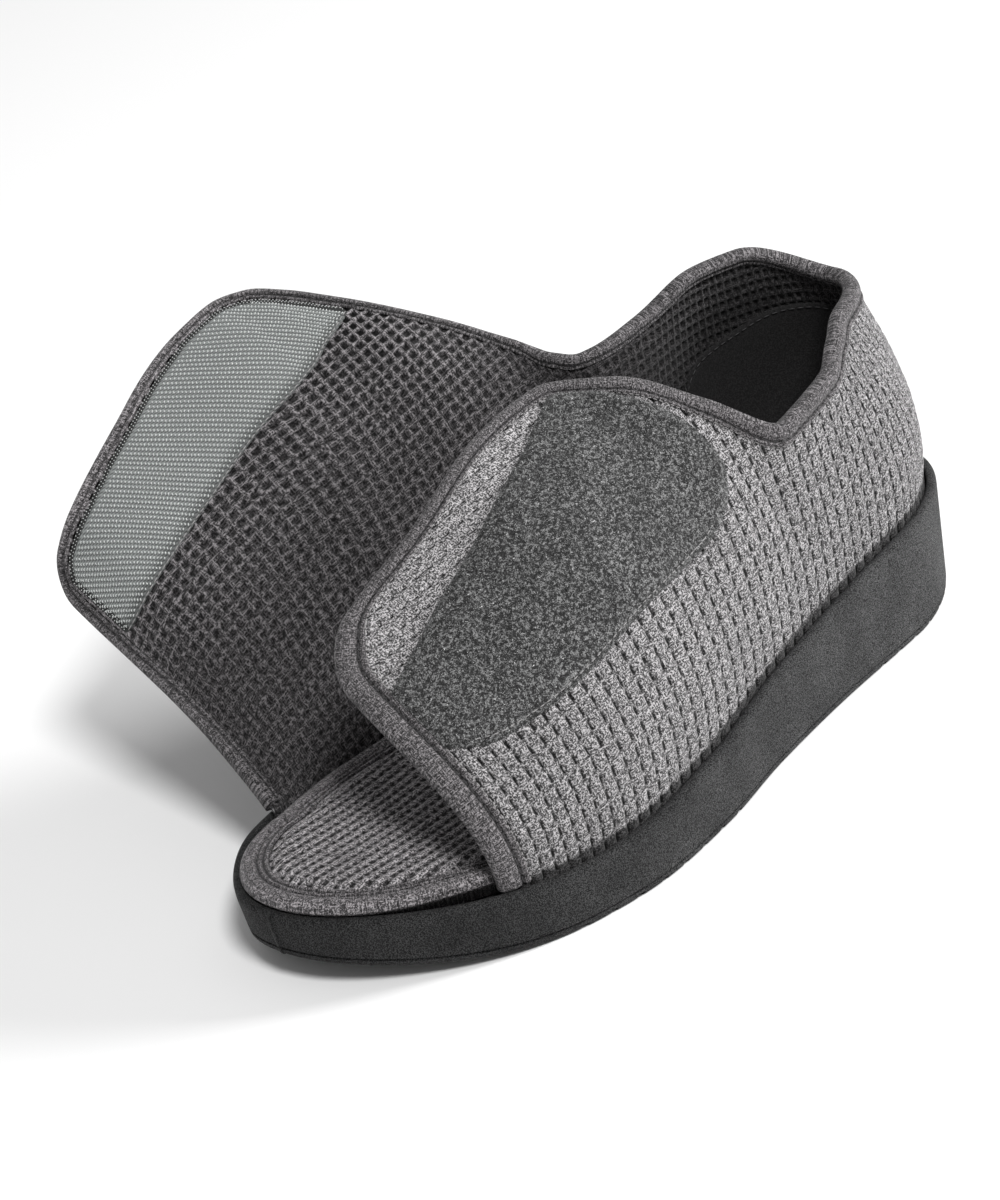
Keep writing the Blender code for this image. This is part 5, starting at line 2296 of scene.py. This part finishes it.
@dataclass
class Footbed(Part):
    """The padded footbed with its ribs, and the tape round its edge."""

    plan: SolePlan
    form: ClothForm
    count: int = 161
    proud: float = 3.6 * MM
    tape: float = 1.1 * MM
    tape_width: float = 6.6 * MM
    toe_margin: float = 1.0 * MM
    tape_room: float = 3.05 * MM
    toe_station: float = 0.975
    stitch_columns: tuple[int, int] = (9, 13)
    thread_lift: float = 0.25 * MM
    rib: float = 3.5 * MM
    cross: float = 2.8 * MM
    pit_depth: float = 0.65 * MM
    crown: float = 1.2 * MM

    def inset(self) -> Array:
        """Return the footbed's inset: near the rim at the toe, inside the upper behind.

        Returns:
            The footbed's inset: near the rim at the toe, inside the upper behind.
        """
        form = self.form
        _, stations, sides = self.plan.ring(np.array(0.0), self.count)
        front = np.where(sides == 1, form.sections[0].station, form.sections[-1].station)
        open_toe = form.rim_wall + self.toe_margin
        covered = form.rim_wall + form.rim_clearance + form.wall + self.tape_room
        share = np.clip((stations - front) / (self.toe_station - front), 0, 1)
        return covered + (open_toe - covered) * share * share * (3 - 2 * share)

    def outline(self, inset: float) -> tuple[Array, Array, Array]:
        """Return x, and the lowest and highest y, of the outline moved further inwards.

        Args:
            inset: How much further inwards.

        Returns:
            X, and the lowest and highest y, of the outline moved further inwards.
        """
        points, _, _ = self.plan.ring(self.inset() + inset, self.count)
        toe = self.count - 1
        outer, inner = points[:toe + 1], np.vstack([points[:1], points[toe + 1:][::-1], points[toe:toe + 1]])
        x = np.linspace(max(outer[0, 0], inner[0, 0]), min(outer[-1, 0], inner[-1, 0]), 900)
        return x, np.interp(x, inner[:, 0], inner[:, 1]), np.interp(x, outer[:, 0], outer[:, 1])

    def top_height(self, x: Array) -> Array:
        """Return the height of the footbed's tape line at x."""
        return self.plan.rim_height((x + self.plan.heel_centre) / self.plan.length) + self.proud

    def build(self, knit: Material, tape: Material, thread: Material) -> None:
        """Build the pad, its tape and the tape's two rows of stitches.

        Args:
            knit: The pad's finish.
            tape: The tape's finish.
            thread: The stitches' finish.
        """
        inset = self.tape_width - 0.6 * MM
        edge_x, edge_low, edge_high = self.outline(inset)
        ends = (edge_x[0] + 0.2 * MM, edge_x[-1] - 0.2 * MM)
        inner = repeats(self.cross, (0.1, 0.35, 0.65, 0.9), ends[0] + 0.2 * MM, ends[1] - 0.2 * MM)
        columns = np.concatenate([[ends[0]], inner, [ends[1]]])
        low = np.interp(columns, edge_x, edge_low)
        high = np.interp(columns, edge_x, edge_high)
        levels = repeats(self.rib, (0.1, 0.3, 0.5, 0.7, 0.9), low.min() - self.rib, high.max() + self.rib)
        rows = np.broadcast_to(levels[None, :], (len(columns), len(levels)))
        border = np.column_stack([np.concatenate([edge_x, edge_x]), np.concatenate([edge_low, edge_high])])

        def rim_distance(x: Array, y: Array) -> Array:
            """Return each place's distance to the pad's border.

            Args:
                x: Places along the shoe.
                y: Places across the shoe.

            Returns:
                Each place's distance to the pad's border.
            """
            away = np.empty(len(x))
            for start in range(0, len(x), 2000):
                spot = np.column_stack([x[start:start + 2000], y[start:start + 2000]])
                away[start:start + 2000] = np.linalg.norm(spot[:, None] - border[None], axis=2).min(axis=1)
            return away

        def front(x: Array, y: Array) -> Array:
            """Return the pad's ribbed top.

            Args:
                x: Places along the shoe.
                y: Places across the shoe.

            Returns:
                The pad's ribbed top.
            """
            away = rim_distance(x, y)
            u, v = x / self.cross, y / self.rib
            rib = smoothstep(0.16, 0.44, np.abs(v - np.round(v)))
            bar = 0.6 + 0.4 * smoothstep(0.1, 0.35, np.abs(u - np.round(u)))
            sunk = self.pit_depth * rib * bar * np.clip(away / (1.5 * MM), 0, 1)
            z = self.top_height(x) - self.tape + 0.2 * MM
            z = z + (self.crown + 0.7 * MM) * smoothstep(0.0, 5 * MM, away) - sunk
            return np.column_stack([x, y, z])

        def back(x: Array, y: Array) -> Array:
            """Return the pad's underside."""
            return np.column_stack([x, y, self.top_height(x) - self.proud - 3.4 * MM])

        made = clamped_layer(columns, rows, low, high, front, back, back_rows=8)
        pad = piece("footbed_pad", made.points, made.faces, knit, made.uv)
        self.keep(pad, "footbed", "footbed")
        self.bind(tape, thread)

    def bind(self, tape: Material, thread: Material) -> None:
        """Build the tape and its stitches.

        Args:
            tape: The tape's finish.
            thread: The stitches' finish.
        """
        reach = self.tape_width
        outline = (
            (0.1, -7.0), (0.0, -3.5), (-1.3, -3.5), (-1.85, -2.6), (-1.4, -1.2), (-0.3, -0.25), (1.2, 0.0),
            (2.4, -0.1), (2.9, -0.45), (3.2, -1.05), (3.55, -0.4), (4.1, -0.1), (4.6, -0.4), (4.95, -1.05),
            (5.3, -0.4), (5.8, -0.1), (reach / MM - 0.2, -0.35), (reach / MM, -1.0), (1.4, -1.5), (1.1, -7.0),
        )
        rings, across = [], []
        base = self.inset()
        for inset, up in outline:
            points, stations, _ = self.plan.ring(base + inset * MM, self.count)
            z = self.plan.rim_height(stations) + self.proud + up * MM
            rings.append(np.column_stack([points, z]))
            across.append(inset * MM)
        profile = np.stack(rings, axis=1)
        length = run_lengths(profile[:, 6])
        uv = np.stack(np.broadcast_arrays(length[:, None], np.array(across)[None, :]), axis=-1)
        # Painted shade in the tape's two stitch grooves; elsewhere the tape is a little lighter.
        groove = np.full(profile.shape[1], -0.12)
        groove[[8, 9, 10, 12, 13, 14]] = (0.2, 0.75, 0.3, 0.2, 0.75, 0.3)
        band = swept("footbed_binding", profile, tape, uv, closed=True, shade=groove[None])
        self.keep(band, "footbed_tape", "footbed_tape")
        rows = []
        for column in self.stitch_columns:
            line = np.vstack([profile[:, column], profile[:1, column]]) + [0.0, 0.0, self.thread_lift]
            rows.append((line, np.tile([0.0, 0.0, 1.0], (len(line), 1))))
        stitch = Stitches(length=1.9 * MM, width=0.5 * MM, height=0.45 * MM)
        self.sew(Seam("footbed_stitches", 2.6 * MM, stitch, "footbed_tape"), thread, *rows)


@dataclass
class HeelCounter(Part):
    """The smooth dark lining inside the heel, with its curved seam."""

    form: ClothForm
    thickness: float = 0.3 * MM
    tuck: float = 0.4 * MM
    thread_lift: float = 0.42 * MM
    columns: int = 120
    across: int = 30

    def build(self, cloth: Material, thread: Material) -> None:
        """Build the lining and its seam.

        Args:
            cloth: The lining's finish.
            thread: The stitches' finish.
        """
        form = self.form
        places = [form.place(side, station) for side, station, _ in COUNTER_SEAM]
        line = smooth_line(places, [up for _, _, up in COUNTER_SEAM])
        along = np.linspace(places[0], places[-1], self.columns)
        top = line(along)
        low = form.bottom(along) * 0.6
        share = np.linspace(0, 1, self.across)
        heights = low[:, None] + (top - low)[:, None] * share[None]
        where = np.repeat(along[:, None], self.across, axis=1)
        thick = self.thickness * np.minimum(1, (1 - share) * 12)[None] * np.ones_like(where)
        face = form.moved(where, heights, -form.wall / 2 - 0.08 * MM - thick)
        under = form.moved(where, heights, -form.wall / 2 + self.tuck)
        uv = np.stack([where, heights * form.pull(along)[:, None]], axis=-1).reshape(-1, 2)
        points = np.concatenate([face.reshape(-1, 3), under.reshape(-1, 3)])
        faces = sheet_faces(*where.shape)
        self.keep(piece("heel_lining", points, faces, cloth, np.concatenate([uv, uv])), "upper")
        seam = np.linspace(places[0], places[-1], 400)
        heights = line(seam) - 0.02
        _, _, normal = form.slopes(seam, heights)
        points = form.moved(seam, heights, -form.wall / 2 - self.thread_lift)
        row = Seam("heel_stitches", 2.6 * MM, Stitches(width=0.36 * MM), "upper")
        self.sew(row, thread, (points, -normal))


@dataclass
class Studio:
    """A pale floor, soft lights and the camera at the photograph's angle."""

    camera_place: tuple[float, float, float] = (0.67415, 0.56716, 0.44230)
    azimuth: float = 46.7236
    elevation: float = 25.6493
    roll: float = -11.8794
    lens: float = 96.595
    target: tuple[float, float, float] = (0.09, -0.02, 0.04)
    reach: float = 6.0

    def view_axes(self) -> tuple[Vector, Vector, Vector]:
        """Return the camera's right, up and backward directions.

        Returns:
            The camera's right, up and backward directions.
        """
        a, e, r = (math.radians(v) for v in (self.azimuth, self.elevation, self.roll))
        back = Vector((math.cos(e) * math.cos(a), math.cos(e) * math.sin(a), math.sin(e)))
        right = (-back).cross(Vector((0, 0, 1))).normalized()
        up = right.cross(-back)
        turned = right * math.cos(r) + up * math.sin(r)
        return turned, up * math.cos(r) - right * math.sin(r), back

    def camera(self) -> None:
        """Create the camera and make it the scene's."""
        data = bpy.data.cameras.new("camera")
        data.lens = self.lens
        data.sensor_width = 36.0
        item = linked("camera", data)
        right, up, back = self.view_axes()
        turn = Matrix((right, up, back)).transposed().to_4x4()
        item.matrix_world = Matrix.Translation(self.camera_place) @ turn
        bpy.context.scene.camera = item

    def floor(self) -> None:
        """Lay the pale floor."""
        mesh = bpy.data.meshes.new("floor")
        reach = self.reach
        corners = [(-reach, -reach, 0), (reach, -reach, 0), (reach, reach, 0), (-reach, reach, 0)]
        mesh.from_pydata(corners, [], [(0, 1, 2, 3)])
        write = Writer("floor")
        write.shader.inputs["Base Color"].default_value = (0.9, 0.9, 0.9, 1.0)
        write.shader.inputs["Roughness"].default_value = 0.9
        mesh.materials.append(write.material)
        linked("floor", mesh)

    def light(self, name: str, place: tuple, size: float, power: float) -> None:
        """Hang one soft light that faces the shoe.

        Args:
            name: The light's name.
            place: Where it hangs.
            size: The disk's diameter.
            power: Its power in watts.
        """
        data = bpy.data.lights.new(name, "AREA")
        data.shape = "DISK"
        data.size = size
        data.energy = power
        item = linked(name, data)
        item.location = place
        away = Vector(place) - Vector(self.target)
        item.rotation_euler = away.to_track_quat("Z", "Y").to_euler()

    def build(self) -> None:
        """Set up the floor, the lights, the world and the camera."""
        self.floor()
        self.camera()
        world = bpy.data.worlds.new("studio")
        world.use_nodes = True
        sky = world.node_tree.nodes["Background"]
        sky.inputs["Color"].default_value = (1.0, 1.0, 1.0, 1.0)
        sky.inputs["Strength"].default_value = 0.35
        bpy.context.scene.world = world
        bpy.context.scene.view_settings.view_transform = "Standard"
        self.light("key", (1.17, 2.28, 3.30), 1.1, 128.0)
        self.light("side", (-2.22, 1.92, 1.42), 1.0, 112.0)


def main() -> None:
    """Build the slipper's pieces in order and report each."""
    logging.basicConfig(level=logging.INFO, format="%(name)s %(message)s")
    plan = SolePlan()
    form = ClothForm(plan)
    outer = KnitFinish("outer_knit", Knit.PILLOWS, 0.03, 0.15, 0.50, up=4.45, hollow=0.08).material()
    lining = KnitFinish(
        "lining_knit", Knit.PITS, 0.03, 0.11, 0.32, warmth=1.06, along=3.1, up=3.5, hollow=0.14,
        weave=0.7,
    ).material()
    bed = KnitFinish(
        "footbed_knit", Knit.RIBS, 0.05, 0.22, 0.60, warmth=1.05, along=2.8, up=3.5, hollow=0.12,
    ).material()
    tape = KnitFinish(
        "tape_knit", Knit.PILLOWS, 0.03, 0.11, 0.34, warmth=1.06, along=1.3, up=1.6, hollow=0.4,
        speckle=3000.0, weave=0.5,
    ).material()
    counter = KnitFinish("counter_cloth", Knit.PLAIN, 0.012, 0.018, 0.028, sheen=0.05).material()
    dark_thread = ThreadFinish("dark_thread", (0.05, 0.048, 0.05)).material()
    pale_thread = ThreadFinish("pale_thread", (0.30, 0.29, 0.29)).material()
    mould_seam_painted_shadow = ThreadFinish("mould_seam_painted_shadow", (0.006, 0.006, 0.006)).material()
    hook_plastic = ThreadFinish("hook_plastic", (0.70, 0.72, 0.71), 0.35).material()
    pile_ground = PileFinish("pile_ground").material()
    pile_fibre = PileFinish("pile_fibre", 0.03, 0.09, 0.85).material()
    cloth = UpperCloth(form)
    cloth.build(outer, lining)
    EdgeBinding(form).build(tape, dark_thread, pale_thread)
    LoopPatch(form, LATERAL, Face.OUTSIDE, LOOP_PATCH_ROWS).build(pile_ground, pile_fibre, pale_thread)
    hook_ground = HookBaseFinish("hook_ground").material()
    HookStrip(form, MEDIAL, Face.INSIDE, HOOK_STRIP_ROWS).build(hook_ground, hook_plastic, pale_thread)
    Footbed(plan, form).build(bed, tape, dark_thread)
    HeelCounter(form).build(counter, dark_thread)
    Sole(plan).build(FoamRubberFinish("foam_rubber").material(), mould_seam_painted_shadow)
    Studio().build()


if __name__ == "__main__":
    main()
